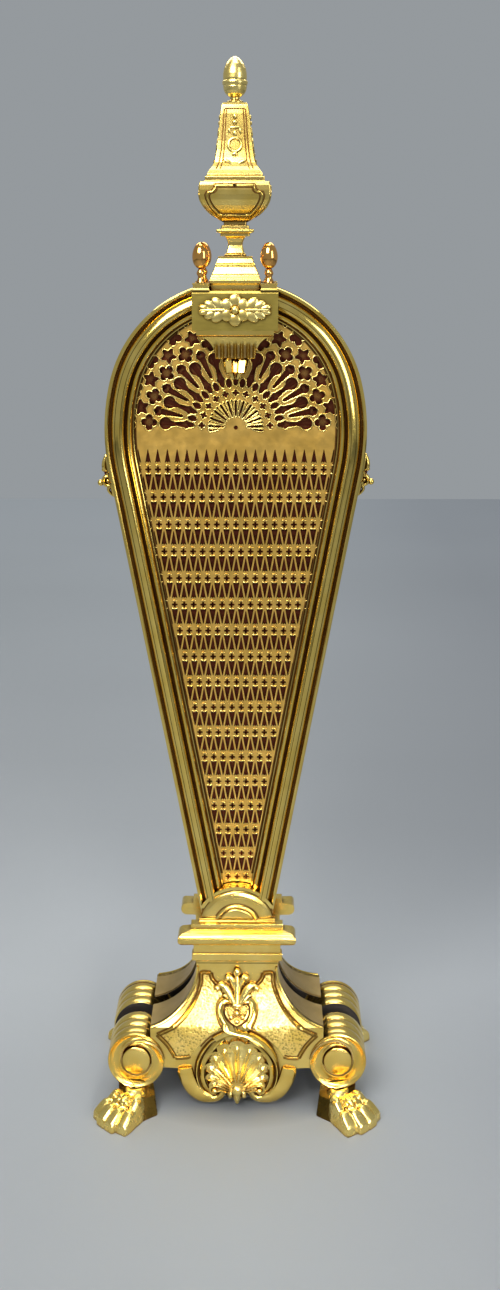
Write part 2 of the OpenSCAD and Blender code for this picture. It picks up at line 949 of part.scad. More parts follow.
module pivot_nuts() {
  color(steel)
    for (s = [-1, 1])
      translate([0, s * (hub_face + seat_gap + pivot_nut_t / 2), pivot_z])
        rotate([90, 0, 0])
          difference() {
            cylinder(h = pivot_nut_t, r = pivot_nut_r, center = true, $fn = 6);
            cylinder(h = pivot_nut_t + over, r = pivot_r + run_gap, center = true);
          }
}

// Distance of leaf k of the stack, counted from 0 at the front, behind the middle
function leaf_y(k) = stack_front + leaf_pitch * k;

module washer(y0, y1) {
  translate([0, y1 - run_gap / 2, pivot_z])
    rotate([90, 0, 0])
      difference() {
        cylinder(h = y1 - y0 - run_gap, r = pivot_r * 2.2);
        translate([0, 0, -over])
          cylinder(h = y1 - y0 + 2 * over, r = pivot_r + run_gap);
      }
}

module leaf_washers() {
  half = leaf_t / 2;
  color(steel) {
    for (k = [0:stack_n - 2])
      washer(leaf_y(k) + half, leaf_y(k + 1) - half);
    washer(-slot_d, leaf_y(0) - half);
    washer(leaf_y(stack_n - 1) + half, slot_d);
  }
}

// Where a leaf's drag pin sits and where the slot for its neighbour's pin runs.
// side is 1 for a leaf that opens to the right and -1 for one that opens to the left.
function pin_reach(n) = (n % 2 == 0) ? pin_z_low : pin_z_high;

// Curved slot of radius r and half width w about the pivot, from angle a0 to a1
function slot_pts(r, w, a0, a1) = concat(
  [for (i = [0:8]) let (a = a0 + (a1 - a0) * i / 8) [(r + w) * cos(a), (r + w) * sin(a)]],
  [for (i = [1:5]) [r * cos(a1) + w * cos(a1 + 30 * i), r * sin(a1) + w * sin(a1 + 30 * i)]],
  [for (i = [8:-1:0]) let (a = a0 + (a1 - a0) * i / 8) [(r - w) * cos(a), (r - w) * sin(a)]],
  [for (i = [1:5]) [r * cos(a0) - w * cos(a0 + 30 * i), r * sin(a0) - w * sin(a0 + 30 * i)]]);

module drag_slot(n) {
  translate([0, pivot_z])
    polygon(slot_pts(pin_reach(n + 1), pin_r + 0.25, 90 - leaf_step / 2, 90 + leaf_step / 2));
}

module leaf_ear(side) {
  mirror([side > 0 ? 0 : 1, 0])
    translate([leg_x(ear_z, 0), ear_z])
      rotate(-leg_a)
        translate([-leaf_inset - ear_root, -ear_w / 2])
          square([leaf_inset + ear_root + ear_out, ear_w]);
}

function ear_rivets() = [-3.6, 3.6];

// Leaf n of 1 to leaf_count, opening to side, at place k in the stack
module leaf(n, side, k) {
  color(satin)
    translate([0, leaf_y(k) + leaf_t / 2, 0])
      upright(0, leaf_t)
        difference() {
          union() {
            polygon(pear_pts(leaf_inset, pivot_z));
            translate([0, pivot_z])
              circle(r = tail_r);
            if (n == leaf_count)
              leaf_ear(side);
          }
          translate([0, pivot_z])
            circle(r = pivot_r + run_gap);
          translate([0, fan_z])
            fan_holes(ray_count, arch_r - leaf_inset - 4);
          lattice_holes(leaf_inset + 4, lattice_top, pivot_z + 2 * hub_r, column_w);
          if (n < leaf_count)
            drag_slot(n);
          if (n > 1)
            translate([pin_at(n, side)[0], pin_at(n, side)[1]])
              circle(r = pin_r);
          if (n == leaf_count)
            mirror([side > 0 ? 0 : 1, 0])
              translate([leg_x(ear_z, 0), ear_z])
                rotate(-leg_a)
                  for (z = ear_rivets())
                    translate([ear_out / 2, z])
                      circle(r = 0.8);
        }
}

// Pin place: at the end of the neighbour's slot that it meets when the fan is closed
function pin_at(n, side) = let (a = 90 + side * leaf_step / 2)
  [pin_reach(n) * cos(a), pivot_z + pin_reach(n) * sin(a)];

module drag_pin(n, side, k) {
  reach = leaf_pitch + leaf_t;
  color(steel)
    translate([pin_at(n, side)[0], leaf_y(k) + leaf_t / 2, pin_at(n, side)[1]])
      rotate([90, 0, 0])
        cylinder(h = reach, r = pin_r);
}

module leaf_l1() { leaf(1, -1, 0); }
module leaf_l2() { leaf(2, -1, 1); }
module leaf_l3() { leaf(3, -1, 2); }
module leaf_l4() { leaf(4, -1, 3); }
module leaf_r1() { leaf(1, 1, 4); }
module leaf_r2() { leaf(2, 1, 5); }
module leaf_r3() { leaf(3, 1, 6); }
module leaf_r4() { leaf(4, 1, 7); }

module drag_pin_l2() { drag_pin(2, -1, 1); }
module drag_pin_l3() { drag_pin(3, -1, 2); }
module drag_pin_l4() { drag_pin(4, -1, 3); }
module drag_pin_r2() { drag_pin(2, 1, 5); }
module drag_pin_r3() { drag_pin(3, 1, 6); }
module drag_pin_r4() { drag_pin(4, 1, 7); }

// Frame of the handle: x away from the screen's edge, z up along the edge, y across
module at_handle(side, k) {
  mirror([side > 0 ? 0 : 1, 0, 0])
    translate([leg_x(ear_z, 0), leaf_y(k), ear_z])
      rotate([0, leg_a, 0])
        children();
}

// Cast handle: a scrolled leaf with a ball, riveted over the ear of the outermost leaf
module handle(side, k) {
  color(brass)
    at_handle(side, k)
      difference() {
        union() {
          translate([0.6, -handle_t / 2, -12])
            cube([3.4, handle_t, 24]);
          translate([0.6, 0, 3])
            rotate([90, 0, 0])
              intersection() {
                cylinder(h = handle_t, r = 7, center = true);
                translate([0, -20, -20])
                  cube(40);
              }
          translate([7.3, 0, -2.5])
            sphere(r = 4.2);
          translate([0.6, -handle_t / 2 + 1.5, 12])
            cube([2.2, handle_t - 3, 5]);
        }
        translate([-over, -leaf_t / 2 - run_gap, -ear_w / 2 - run_gap])
          cube([ear_out + over + run_gap, leaf_t + 2 * run_gap, ear_w + 2 * run_gap]);
        for (z = ear_rivets())
          translate([ear_out / 2, 0, z])
            rotate([90, 0, 0])
              cylinder(h = 2 * handle_t, r = 0.8, center = true);
      }
}

module left_handle() {
  handle(-1, 3);
}

module right_handle() {
  handle(1, 7);
}

module handle_rivets(side, k) {
  color(brass)
    at_handle(side, k)
      for (z = ear_rivets())
        translate([ear_out / 2, 0, z])
          rotate([90, 0, 0])
            cylinder(h = handle_t, r = 0.8, center = true);
}

module left_handle_rivets() {
  handle_rivets(-1, 3);
}

module right_handle_rivets() {
  handle_rivets(1, 7);
}

module at_stops() {
  for (s = [-1, 1])
    translate([s * stop_x, 0, stop_z])
      rotate([90, 0, 0])
        children();
}

module stop_bolts() {
  head_y = hub_face + run_gap;
  color(steel)
    at_stops() {
      cylinder(h = 2 * hub_face + 5, r = bolt_r, center = true);
      translate([0, 0, head_y])
        cylinder(h = nut_t, r = nut_r, $fn = 6);
    }
}

module stop_nuts() {
  color(steel)
    at_stops()
      translate([0, 0, -hub_face - nut_t - run_gap])
        difference() {
          cylinder(h = nut_t, r = nut_r, $fn = 6);
          translate([0, 0, -over])
            cylinder(h = nut_t + 2 * over, r = bolt_r + run_gap);
        }
}

module stop_sleeves() {
  color(brass)
    at_stops()
      sleeve(sleeve_r, bolt_r + run_gap);
}

// Crest block: a saddle over the tops of both frames, open at its ends for the leaves
screw_x = 12;
screw_z = block_z - 9.5;
screw_r = 1.6;

module crest_block() {
  bevel = 1.4;
  color(satin)
    difference() {
      square_turned_rect(block_w, block_d, block_foot, block_z, bevel);
      translate([-2 * block_w, -channel_d, block_foot - over])
        cube([4 * block_w, 2 * channel_d, block_h - bridge_t + over]);
      for (s = [-1, 1], m = [0, 1])
        mirror([0, m, 0])
          translate([s * screw_x, -block_d - over, screw_z])
            rotate([-90, 0, 0])
              cylinder(h = block_d - channel_d + 2 * over, r = screw_r + run_gap);
      translate([0, 0, block_z - bridge_t - over])
        cylinder(h = bridge_t + 2 * over, r = finial_rod_r + run_gap);
    }
}

// Block of half width w and half depth d with its top edges bevelled by c
module square_turned_rect(w, d, z0, z1, c) {
  intersection() {
    rotate([90, 0, 0])
      linear_extrude(2 * d + over, center = true)
        polygon([[-w, z0], [w, z0], [w, z1 - c], [w - c, z1], [-w + c, z1], [-w, z1 - c]]);
    rotate([90, 0, 90])
      linear_extrude(2 * w + over, center = true)
        polygon([[-d, z0], [d, z0], [d, z1 - c], [d - c, z1], [-d + c, z1], [-d, z1 - c]]);
  }
}

module crest_screws() {
  color(steel)
    for (s = [-1, 1], m = [0, 1])
      mirror([0, m, 0])
        translate([s * screw_x, -block_d + 0.2, screw_z])
          rotate([-90, 0, 0])
            cylinder(h = block_d - channel_d + 9, r = screw_r);
}

// Rosette with leaf sprays on the face of the block
module rosette() {
  mid_z = block_z - 12.2;
  petals = 8;
  color(brass)
    translate([0, -block_d, mid_z])
      rotate([90, 0, 0]) {
        for (i = [0:petals - 1])
          rotate([0, 0, 360 * (i + 0.5) / petals])
            translate([5.6, 0, 0])
              cylinder(h = 2.2, r = 3.1, $fn = 32);
        cylinder(h = 2, r = 6);
        translate([0, 0, 2.8])
          sphere(r = 2.8);
        for (s = [-1, 1], lift = [-1, 0, 1])
          rotate([0, 0, lift * 20 + (s > 0 ? 0 : 180)])
            linear_extrude(1.6 + 0.2 * lift)
              polygon([[4, -2.4], [14 - 2 * abs(lift), -3], [22.5 - 4 * abs(lift), 0],
                       [14 - 2 * abs(lift), 3], [4, 2.4]]);
      }
}

module front_rosette() {
  rosette();
}

module rear_rosette() {
  rear()
    rosette();
}

// Fluted corbel and its drop under the block
module corbel() {
  top_w = 26.2;
  foot_w = 11.6;
  fillet = 3.5;
  cove_r = top_w - foot_w + 0.3;
  cove_z = block_foot - fillet - cove_r;
  drop_w = 8.1;
  drop_h = 8.6;
  flutes = 5;
  flute_pitch = 4.9;
  color(brass)
    difference() {
      union() {
        upright(frame_face + seat_gap, block_d)
          difference() {
            translate([-top_w, cove_z])
              square([2 * top_w, block_foot - cove_z]);
            for (s = [-1, 1])
              translate([s * (foot_w + cove_r), cove_z])
                circle(r = cove_r, $fn = 72);
          }
        upright(frame_face + seat_gap, block_d - 0.8)
          polygon([[-drop_w, cove_z + over], [drop_w, cove_z + over], [drop_w, cove_z - drop_h * 0.55],
                   [0, cove_z - drop_h], [-drop_w, cove_z - drop_h * 0.55]]);
      }
      for (i = [0:flutes - 1])
        translate([(i - (flutes - 1) / 2) * flute_pitch, -block_d - 0.2, cove_z + 2.4])
          cylinder(h = 11, r = 1.3, $fn = 24);
    }
}

module front_corbel() {
  corbel();
}

module rear_corbel() {
  rear()
    corbel();
}

// Turned knob on its square plinth
module knob(mx, my) {
  egg_z = plinth_h + egg_h / 2 + 9.1;
  foot_r = 3.4;
  color(copper)
    translate([mx * knob_x, my * knob_y, block_z]) {
      translate([-plinth_w, -plinth_w, 0])
        cube([2 * plinth_w, 2 * plinth_w, plinth_h]);
      rotate_extrude()
        polygon(concat(
          [[0, plinth_h - over], [foot_r, plinth_h - over], [foot_r, plinth_h + 1.2], [2.2, plinth_h + 3],
           [1.9, plinth_h + 4.6], [3, plinth_h + 6], [2.9, plinth_h + 7.6], [2.1, plinth_h + 8.8]],
          [for (i = [1:12]) let (a = -90 + 15 * i)
            [max(egg_r * cos(a) * (1 - 0.12 * sin(a)), 0), egg_z + egg_h / 2 * sin(a)]]));
    }
}

module front_left_knob() {
  knob(-1, -1);
}

module front_right_knob() {
  knob(1, -1);
}

module rear_left_knob() {
  knob(-1, 1);
}

module rear_right_knob() {
  knob(1, 1);
}

// Bore for the rod that ties the crest together, from z0 up
module rod_bore(z0, h) {
  translate([0, 0, z0 - over])
    cylinder(h = h + 2 * over, r = finial_rod_r + run_gap);
}

module urn_pedestal() {
  z = block_z;
  h = pedestal_h;
  w = 17.3;
  color(brass)
    difference() {
      square_turned([[w - 1, z], [w - 1, z + h * 0.14], [w, z + h * 0.16], [w, z + h * 0.28],
                     [w - 1, z + h * 0.4], [w - 2.6, z + h * 0.54], [w - 3.7, z + h * 0.66],
                     [w - 3.7, z + h * 0.76], [w - 4.8, z + h * 0.82], [w - 4.8, z + h * 0.9],
                     [w - 6, z + h * 0.92], [w - 6, z + h]]);
      rod_bore(z, h);
    }
}

module urn_stem() {
  z = pedestal_z;
  h = stem_h;
  color(brass)
    difference() {
      square_turned([[7.4, z], [7.4, z + h * 0.06], [6, z + h * 0.09], [5, z + h * 0.29],
                     [4.7, z + h * 0.33], [5.4, z + h * 0.42], [6.7, z + h * 0.54], [10, z + h * 0.59],
                     [10, z + h * 0.68], [12.6, z + h * 0.71], [12.7, z + h * 0.76],
                     [12.3, z + h * 0.8], [9.4, z + h * 0.81], [9.4, z + h * 0.91], [7.7, z + h * 0.92],
                     [7.7, z + h]]);
      rod_bore(z, h);
    }
}

module urn_bowl() {
  z = stem_z;
  h = bowl_h;
  w = bowl_w;
  lid_w = 19.8;
  lid_h = 3.5;
  belly = h - lid_h;
  color(brass)
    difference() {
      square_turned(concat(
        [[w * 0.4, z]],
        [for (i = [0:9]) let (a = -62 + 8.2 * i)
          [w * cos(a) * 0.98 + w * 0.02, z + belly * 0.8 + belly * 0.88 * sin(a)]],
        [[w - 0.5, z + belly], [lid_w, z + belly], [lid_w, z + h]]));
      rod_bore(z, h);
    }
}

module obelisk() {
  z = bowl_z;
  h = obelisk_h;
  w = obelisk_w;
  medal_z = z + h * 0.36;
  color(brass)
    difference() {
      union() {
        square_turned([[w, z], [w * 0.99, z + h * 0.03], [w * 0.905, z + h * 0.08], [w * 0.77, z + h * 0.15],
                       [w * 0.7, z + h * 0.22], [w * 0.645, z + h * 0.35], [w * 0.565, z + h * 0.62],
                       [w * 0.51, z + h * 0.85], [w * 0.473, z + h * 0.94], [w * 0.42, z + h]]);
        for (a = [0:90:270])
          rotate([0, 0, a]) {
            translate([0, -w * 0.613, medal_z])
              rotate([90, 0, 0])
                cylinder(h = 1.6, r = 4.6);
            translate([0, -w * 0.56, z + h * 0.53])
              sphere(r = 1.9, $fn = 24);
            translate([0, -w * 0.532, z + h * 0.64])
              sphere(r = 1.7, $fn = 24);
            translate([0, -w * 0.51, z + h * 0.73])
              sphere(r = 1.5, $fn = 24);
          }
      }
      rod_bore(z, h);
    }
}

module acorn_finial() {
  z = obelisk_z;
  h = acorn_h;
  r = acorn_r;
  cup_z = 15;
  color(brass)
    difference() {
      translate([0, 0, z])
        rotate_extrude()
          polygon(concat(
            [[0, 0], [5.7, 0], [5.7, 1.4], [4.2, 2.2], [2.8, 3.8], [3.2, 5.8], [5.2, 8],
             [r - 0.4, 12], [r + 0.7, cup_z - 1.6], [r + 0.7, cup_z - 0.2], [r, cup_z]],
            [for (i = [1:6]) let (u = i / 6) [r * sqrt(1 - pow(u, 1.7)), cup_z + (h - cup_z) * u]],
            [[0, h]]));
      translate([0, 0, z - over])
        cylinder(h = cup_z + over, r = finial_rod_r + run_gap);
    }
}

module finial_rod() {
  color(steel)
    translate([0, 0, block_z - bridge_t + 0.2])
      cylinder(h = obelisk_z - block_z + bridge_t + rod_in_acorn, r = finial_rod_r);
}

front_base_casting();
rear_base_casting();
front_cornice();
rear_cornice();
front_left_paw();
front_right_paw();
rear_left_paw();
rear_right_paw();
paw_studs();
paw_nuts();
base_tie_rods();
base_spacers();
front_frame();
rear_frame();
front_panel();
rear_panel();
front_panel_rivets();
rear_panel_rivets();
front_hub_cover();
rear_hub_cover();
pivot_rod();
pivot_nuts();
leaf_washers();
stop_bolts();
stop_nuts();
stop_sleeves();
leaf_l1();
leaf_l2();
leaf_l3();
leaf_l4();
leaf_r1();
leaf_r2();
leaf_r3();
leaf_r4();
drag_pin_l2();
drag_pin_l3();
drag_pin_l4();
drag_pin_r2();
drag_pin_r3();
drag_pin_r4();
left_handle();
right_handle();
left_handle_rivets();
right_handle_rivets();
crest_block();
crest_screws();
front_rosette();
rear_rosette();
front_corbel();
rear_corbel();
front_left_knob();
front_right_knob();
rear_left_knob();
rear_right_knob();
urn_pedestal();
urn_stem();
urn_bowl();
obelisk();
acorn_finial();
finial_rod();
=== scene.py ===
"""Folding fan fire screen in brass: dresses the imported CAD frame. Shapes are in millimetres, meshes in metres."""
import math

import bmesh
import bpy
import numpy as np
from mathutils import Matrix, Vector
from mathutils.geometry import delaunay_2d_cdt


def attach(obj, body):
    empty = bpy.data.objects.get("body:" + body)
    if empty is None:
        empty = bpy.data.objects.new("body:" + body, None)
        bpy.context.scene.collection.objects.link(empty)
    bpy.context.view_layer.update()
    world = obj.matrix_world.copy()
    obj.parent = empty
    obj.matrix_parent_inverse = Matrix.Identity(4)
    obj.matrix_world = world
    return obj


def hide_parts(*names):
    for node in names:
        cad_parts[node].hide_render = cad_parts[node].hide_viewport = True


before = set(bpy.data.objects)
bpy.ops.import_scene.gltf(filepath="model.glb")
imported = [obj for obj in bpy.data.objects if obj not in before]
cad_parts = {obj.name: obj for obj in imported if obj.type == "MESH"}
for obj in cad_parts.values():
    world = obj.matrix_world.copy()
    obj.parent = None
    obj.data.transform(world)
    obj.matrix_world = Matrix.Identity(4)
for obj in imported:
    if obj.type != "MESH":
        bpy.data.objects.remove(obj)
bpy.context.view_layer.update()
MM = 0.001
SCREEN = "screen"
scene = bpy.context.scene
rad = math.radians

# Sizes shared with the CAD source
SLOT_D = 6.6
BODY_Z = 120.4
FLARE_Z = 113.8
SIDE_R, SIDE_X = 44.3, 75.9
FACE_R, FACE_Y, FACE_FOOT = 64.0, 87.0, 70.4
BASE_D = 40.0
FLARE_END = 67.0
SCROLL_X, SCROLL_Z = 78.6, 40.9
SCROLL_RX, SCROLL_RZ = 22.3, 24.5
ARCH_R, ARCH_Z = 89.9, 538.0
SHOULDER_R, SHOULDER_A = 145.3, 14.6
LEG_A = 10.2
BAND_W = 20.4
PIVOT_Z = 147.3
HUB_R = 31.1
HUB_FACE = 14.6
COVER_R = 28.0
CORNICE_TOP = 153.4
CORNICE_BACK = 17.9
FAN_Z = 528.2
LATTICE_TOP = 513.0
ROW_H = 19.74
COLUMN_W = 6.89
BLOCK_W, BLOCK_D, BLOCK_FOOT, BLOCK_Z = 29.0, 27.0, 595.6, 621.5
SHOULDER_X = (SHOULDER_R - ARCH_R) * math.cos(rad(SHOULDER_A))
SHOULDER_Z = ARCH_Z - (SHOULDER_R - ARCH_R) * math.sin(rad(SHOULDER_A))
LEG_TOP_Z = SHOULDER_Z - SHOULDER_R * math.sin(rad(LEG_A))
LEG_TOP_X = SHOULDER_R * math.cos(rad(LEG_A)) - SHOULDER_X


# ---- materials ----
def ramp(nodes, links, source, low, high, c0, c1):
    """Colour ramp from c0 at low to c1 at high."""
    node = nodes.new("ShaderNodeValToRGB")
    node.color_ramp.elements[0].position = low
    node.color_ramp.elements[1].position = high
    node.color_ramp.elements[0].color = c0
    node.color_ramp.elements[1].color = c1
    links.new(source, node.inputs[0])
    return node.outputs[0]


def noise(nodes, links, coords, scale, detail=4.0, stretch=None):
    """Noise texture on the object's own coordinates, in features of about 1 / scale metres."""
    if stretch:
        mapping = nodes.new("ShaderNodeMapping")
        mapping.inputs["Scale"].default_value = stretch
        links.new(coords, mapping.inputs["Vector"])
        coords = mapping.outputs["Vector"]
    node = nodes.new("ShaderNodeTexNoise")
    node.inputs["Scale"].default_value = scale
    node.inputs["Detail"].default_value = detail
    links.new(coords, node.inputs["Vector"])
    return node.outputs["Fac"]


def mixed(nodes, links, factor, a, b, kind="MIX"):
    """Mix of two colours or sockets by a factor socket or number."""
    node = nodes.new("ShaderNodeMix")
    node.data_type = "RGBA"
    node.blend_type = kind
    for socket, value in ((node.inputs[0], factor), (node.inputs[6], a), (node.inputs[7], b)):
        if isinstance(value, (tuple, float, int)):
            socket.default_value = value
        else:
            links.new(value, socket)
    return node.outputs[2]


def metal(name, light, deep, grime_and_shade, rough, recess=4.0, bump=0.08, grain=900.0, patch=60.0, metallic=1.0,
          stipple=0.0, stretch=None, open_at=(0.42, 0.93)):
    """Cast or sheet metal: light and deep tone in soft patches, grime and painted shade in recesses by ambient
    occlusion, varied roughness, fine grain.
    """
    mat = bpy.data.materials.new(name)
    mat.use_nodes = True
    nodes, links = mat.node_tree.nodes, mat.node_tree.links
    shader = nodes["Principled BSDF"]
    coords = nodes.new("ShaderNodeTexCoord").outputs["Object"]
    patches = noise(nodes, links, coords, patch, 5.0)
    tone = ramp(nodes, links, patches, 0.35, 0.68, (*deep, 1), (*light, 1))
    # Ambient occlusion pulls the colour towards the dark one in recesses and gaps: grime in part, painted shade in
    # part.
    shade = nodes.new("ShaderNodeAmbientOcclusion")
    shade.inputs["Distance"].default_value = recess * MM
    shade.samples = 8
    open_part = ramp(nodes, links, shade.outputs["AO"], *open_at, (0, 0, 0, 1), (1, 1, 1, 1))
    if stipple:
        dots = nodes.new("ShaderNodeTexVoronoi")
        dots.inputs["Scale"].default_value = 520.0
        links.new(coords, dots.inputs["Vector"])
        punched = ramp(nodes, links, dots.outputs["Distance"], 0.1, 0.55, (0.42, 0.36, 0.26, 1), (1, 1, 1, 1))
        tone = mixed(nodes, links, 1.0, tone, punched, "MULTIPLY")
    links.new(mixed(nodes, links, open_part, (*grime_and_shade, 1), tone), shader.inputs["Base Color"])
    smears = noise(nodes, links, coords, patch * 2.5, 6.0, stretch)
    low, high = rough
    links.new(ramp(nodes, links, smears, 0.3, 0.75, (low, low, low, 1), (high, high, high, 1)),
              shader.inputs["Roughness"])
    shader.inputs["Metallic"].default_value = metallic
    fine = noise(nodes, links, coords, grain, 3.0, stretch)
    surface = nodes.new("ShaderNodeBump")
    surface.inputs["Strength"].default_value = bump
    surface.inputs["Distance"].default_value = 0.0003
    links.new(fine, surface.inputs["Height"])
    if stipple:
        punched = nodes.new("ShaderNodeBump")
        punched.inputs["Strength"].default_value = stipple
        punched.inputs["Distance"].default_value = 0.0004
        links.new(dots.outputs["Distance"], punched.inputs["Height"])
        links.new(surface.outputs["Normal"], punched.inputs["Normal"])
        surface = punched
    links.new(surface.outputs["Normal"], shader.inputs["Normal"])
    return mat


POLISHED = metal("polished_brass", (0.95, 0.71, 0.20), (0.88, 0.61, 0.13), (0.15, 0.05, 0.008), (0.08, 0.19))
FRAME = metal("frame_brass", (0.93, 0.70, 0.20), (0.85, 0.60, 0.13), (0.13, 0.04, 0.01), (0.08, 0.17), recess=1.5, bump=0.04)
CASTING = metal("cast_brass", (0.94, 0.70, 0.21), (0.85, 0.59, 0.13), (0.15, 0.05, 0.008), (0.20, 0.25), bump=0.06)
# Lighter brass for relief, rims, paws and finial: painted highlight, with a rougher finish.
BRIGHT_RELIEF = metal("gilt_relief", (0.98, 0.78, 0.28), (0.91, 0.65, 0.16), (0.19, 0.065, 0.008), (0.23, 0.31), recess=3.0,
             open_at=(0.35, 0.9))
FIELD = metal("matted_field", (0.95, 0.71, 0.23), (0.84, 0.59, 0.13), (0.26, 0.11, 0.02), (0.34, 0.44), stipple=0.9)
SATIN = metal("satin_block", (0.56, 0.42, 0.095), (0.46, 0.34, 0.07), (0.16, 0.08, 0.015), (0.28, 0.40),
              stretch=(1, 1, 12))
INNER = metal("pinkish_flare", (0.60, 0.42, 0.17), (0.50, 0.34, 0.12), (0.18, 0.08, 0.025), (0.30, 0.44))
# Near-black brass for the heels behind the toes: painted shade.
SHADED_HEEL = metal("dull_heel", (0.11, 0.07, 0.013), (0.08, 0.048, 0.009), (0.12, 0.05, 0.01), (0.22, 0.36))
SHEET = metal("pierced_sheet", (0.90, 0.56, 0.135), (0.80, 0.48, 0.10), (0.14, 0.04, 0.012), (0.32, 0.46), recess=1.2)
# Leaf brass is darker than the panel's and darkened by occlusion over 16 mm, so the stack behind the pierced panel
# reads dark: painted shade.
LEAF = metal("leaf_sheet", (0.72, 0.43, 0.11), (0.60, 0.34, 0.08), (0.12, 0.030, 0.016), (0.28, 0.44), recess=16.0,
             open_at=(0.78, 0.99))
COPPER = metal("copper_toned", (0.90, 0.48, 0.13), (0.78, 0.36, 0.08), (0.16, 0.05, 0.01), (0.07, 0.16))
STEEL = metal("steel", (0.52, 0.52, 0.53), (0.42, 0.42, 0.43), (0.12, 0.10, 0.09), (0.25, 0.4))
# Black for the hollow insides of the base, the barrels' backs and the spacers: painted shade.
SHADE_BLACK = metal("sooted_inside", (0.020, 0.014, 0.010), (0.012, 0.008, 0.006), (0.004, 0.003, 0.002), (0.7, 0.9), metallic=0.2)
# Dark brown lines: chased lines, and painted shade in grooves and gaps.
DARK_LINES_AND_SHADE = metal("dark_chased_line", (0.20, 0.105, 0.028), (0.13, 0.06, 0.015), (0.05, 0.02, 0.006), (0.40, 0.55))


# ---- mesh helpers ----
def piece(name, parts, mat, body=SCREEN, replaces=(), sharp=32, turn=0.0):
    """One object from parts, each (points in mm, faces). turn is its turn about z, in degrees."""
    verts, faces = [], []
    for points, polygons in parts:
        start = len(verts)
        verts.extend((p[0] * MM, p[1] * MM, p[2] * MM) for p in points)
        faces.extend(tuple(start + i for i in f) for f in polygons)
    mesh = bpy.data.meshes.new(name)
    mesh.from_pydata(verts, [], faces)
    bm = bmesh.new()
    bm.from_mesh(mesh)
    bmesh.ops.remove_doubles(bm, verts=bm.verts, dist=2e-6)
    bmesh.ops.recalc_face_normals(bm, faces=bm.faces)
    bm.to_mesh(mesh)
    bm.free()
    mesh.shade_smooth()
    mesh.set_sharp_from_angle(angle=rad(sharp))
    mesh.materials.append(mat)
    return placed(name, mesh, body, replaces, turn)


def placed(name, mesh, body=SCREEN, replaces=(), turn=0.0):
    """The mesh as an object on its body, with normals that keep large faces flat up to their arrises."""
    ob = bpy.data.objects.new(name, mesh)
    scene.collection.objects.link(ob)
    normals = ob.modifiers.new("normals", "WEIGHTED_NORMAL")
    normals.keep_sharp = True
    ob.rotation_euler.z = rad(turn)
    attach(ob, body)
    if replaces:
        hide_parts(*replaces)
    return ob


def front_and_rear(name, parts, mat, node=None, sharp=32):
    """The front piece and its half-turned copy, each standing for its own CAD node."""
    front = piece("front_" + name, parts, mat, replaces=["front_" + node] if node else (), sharp=sharp)
    placed("rear_" + name, front.data, replaces=["rear_" + node] if node else (), turn=180.0)
    return front


def grid(rows, close_u=False, cap=False):
    """Faces over rows of points; close_u joins each row's end to its start; cap closes first and last row."""
    n = len(rows[0])
    points = [p for row in rows for p in row]
    faces = []
    for j in range(len(rows) - 1):
        for i in range(n if close_u else n - 1):
            a, b = j * n + i, j * n + (i + 1) % n
            faces.append((a, b, b + n, a + n))
    if cap:
        faces.append(tuple(range(n)))
        faces.append(tuple((len(rows) - 1) * n + i for i in range(n)))
    return points, faces


def ring(r, z, n, cx=0.0, cy=0.0):
    return [(cx + r * math.cos(2 * math.pi * i / n), cy + r * math.sin(2 * math.pi * i / n), z) for i in range(n)]


def lathe(profile, n=48, cx=0.0, cy=0.0):
    """Solid of revolution about a vertical axis; profile is a list of radius and height."""
    return grid([ring(max(r, 0.001), z, n, cx, cy) for r, z in profile], True, True)


def soft_square(wx, wy, z, c=0.45, cx=0.0, cy=0.0):
    """Ring round a rectangle of half sizes wx and wy, with small round corners."""
    c = min(c, wx * 0.4, wy * 0.4)
    points = []
    for k, (sx, sy) in enumerate(((1, 1), (-1, 1), (-1, -1), (1, -1))):
        for j in range(4):
            a = rad(90 * k + 30 * j)
            points.append((cx + sx * (wx - c) + c * math.cos(a), cy + sy * (wy - c) + c * math.sin(a), z))
    return points


def square_lathe(profile, c=0.45, cx=0.0, cy=0.0):
    """Square-plan solid; profile is a list of half width and height."""
    return grid([soft_square(w, w, z, c, cx, cy) for w, z in profile], True, True)


def rounded(profile, r=0.35, steps=3):
    """The profile with each corner cut by a small round, so that arrises catch the light."""
    out = [profile[0]]
    for a, b, c in zip(profile, profile[1:], profile[2:]):
        va, vc = np.subtract(a, b), np.subtract(c, b)
        la, lc = np.hypot(*va), np.hypot(*vc)
        if la < 1e-6 or lc < 1e-6:
            out.append(b)
            continue
        d = min(r, la * 0.45, lc * 0.45)
        p, q = b + va / la * d, b + vc / lc * d
        for i in range(steps + 1):
            t = i / steps
            out.append(tuple((1 - t) ** 2 * p + 2 * t * (1 - t) * np.array(b) + t * t * q))
    out.append(profile[-1])
    return [tuple(float(v) for v in p) for p in out]


def arc(cx, cz, r, a0, a1, n):
    return [(cx + r * math.cos(rad(a0 + (a1 - a0) * i / n)), cz + r * math.sin(rad(a0 + (a1 - a0) * i / n)))
            for i in range(n + 1)]


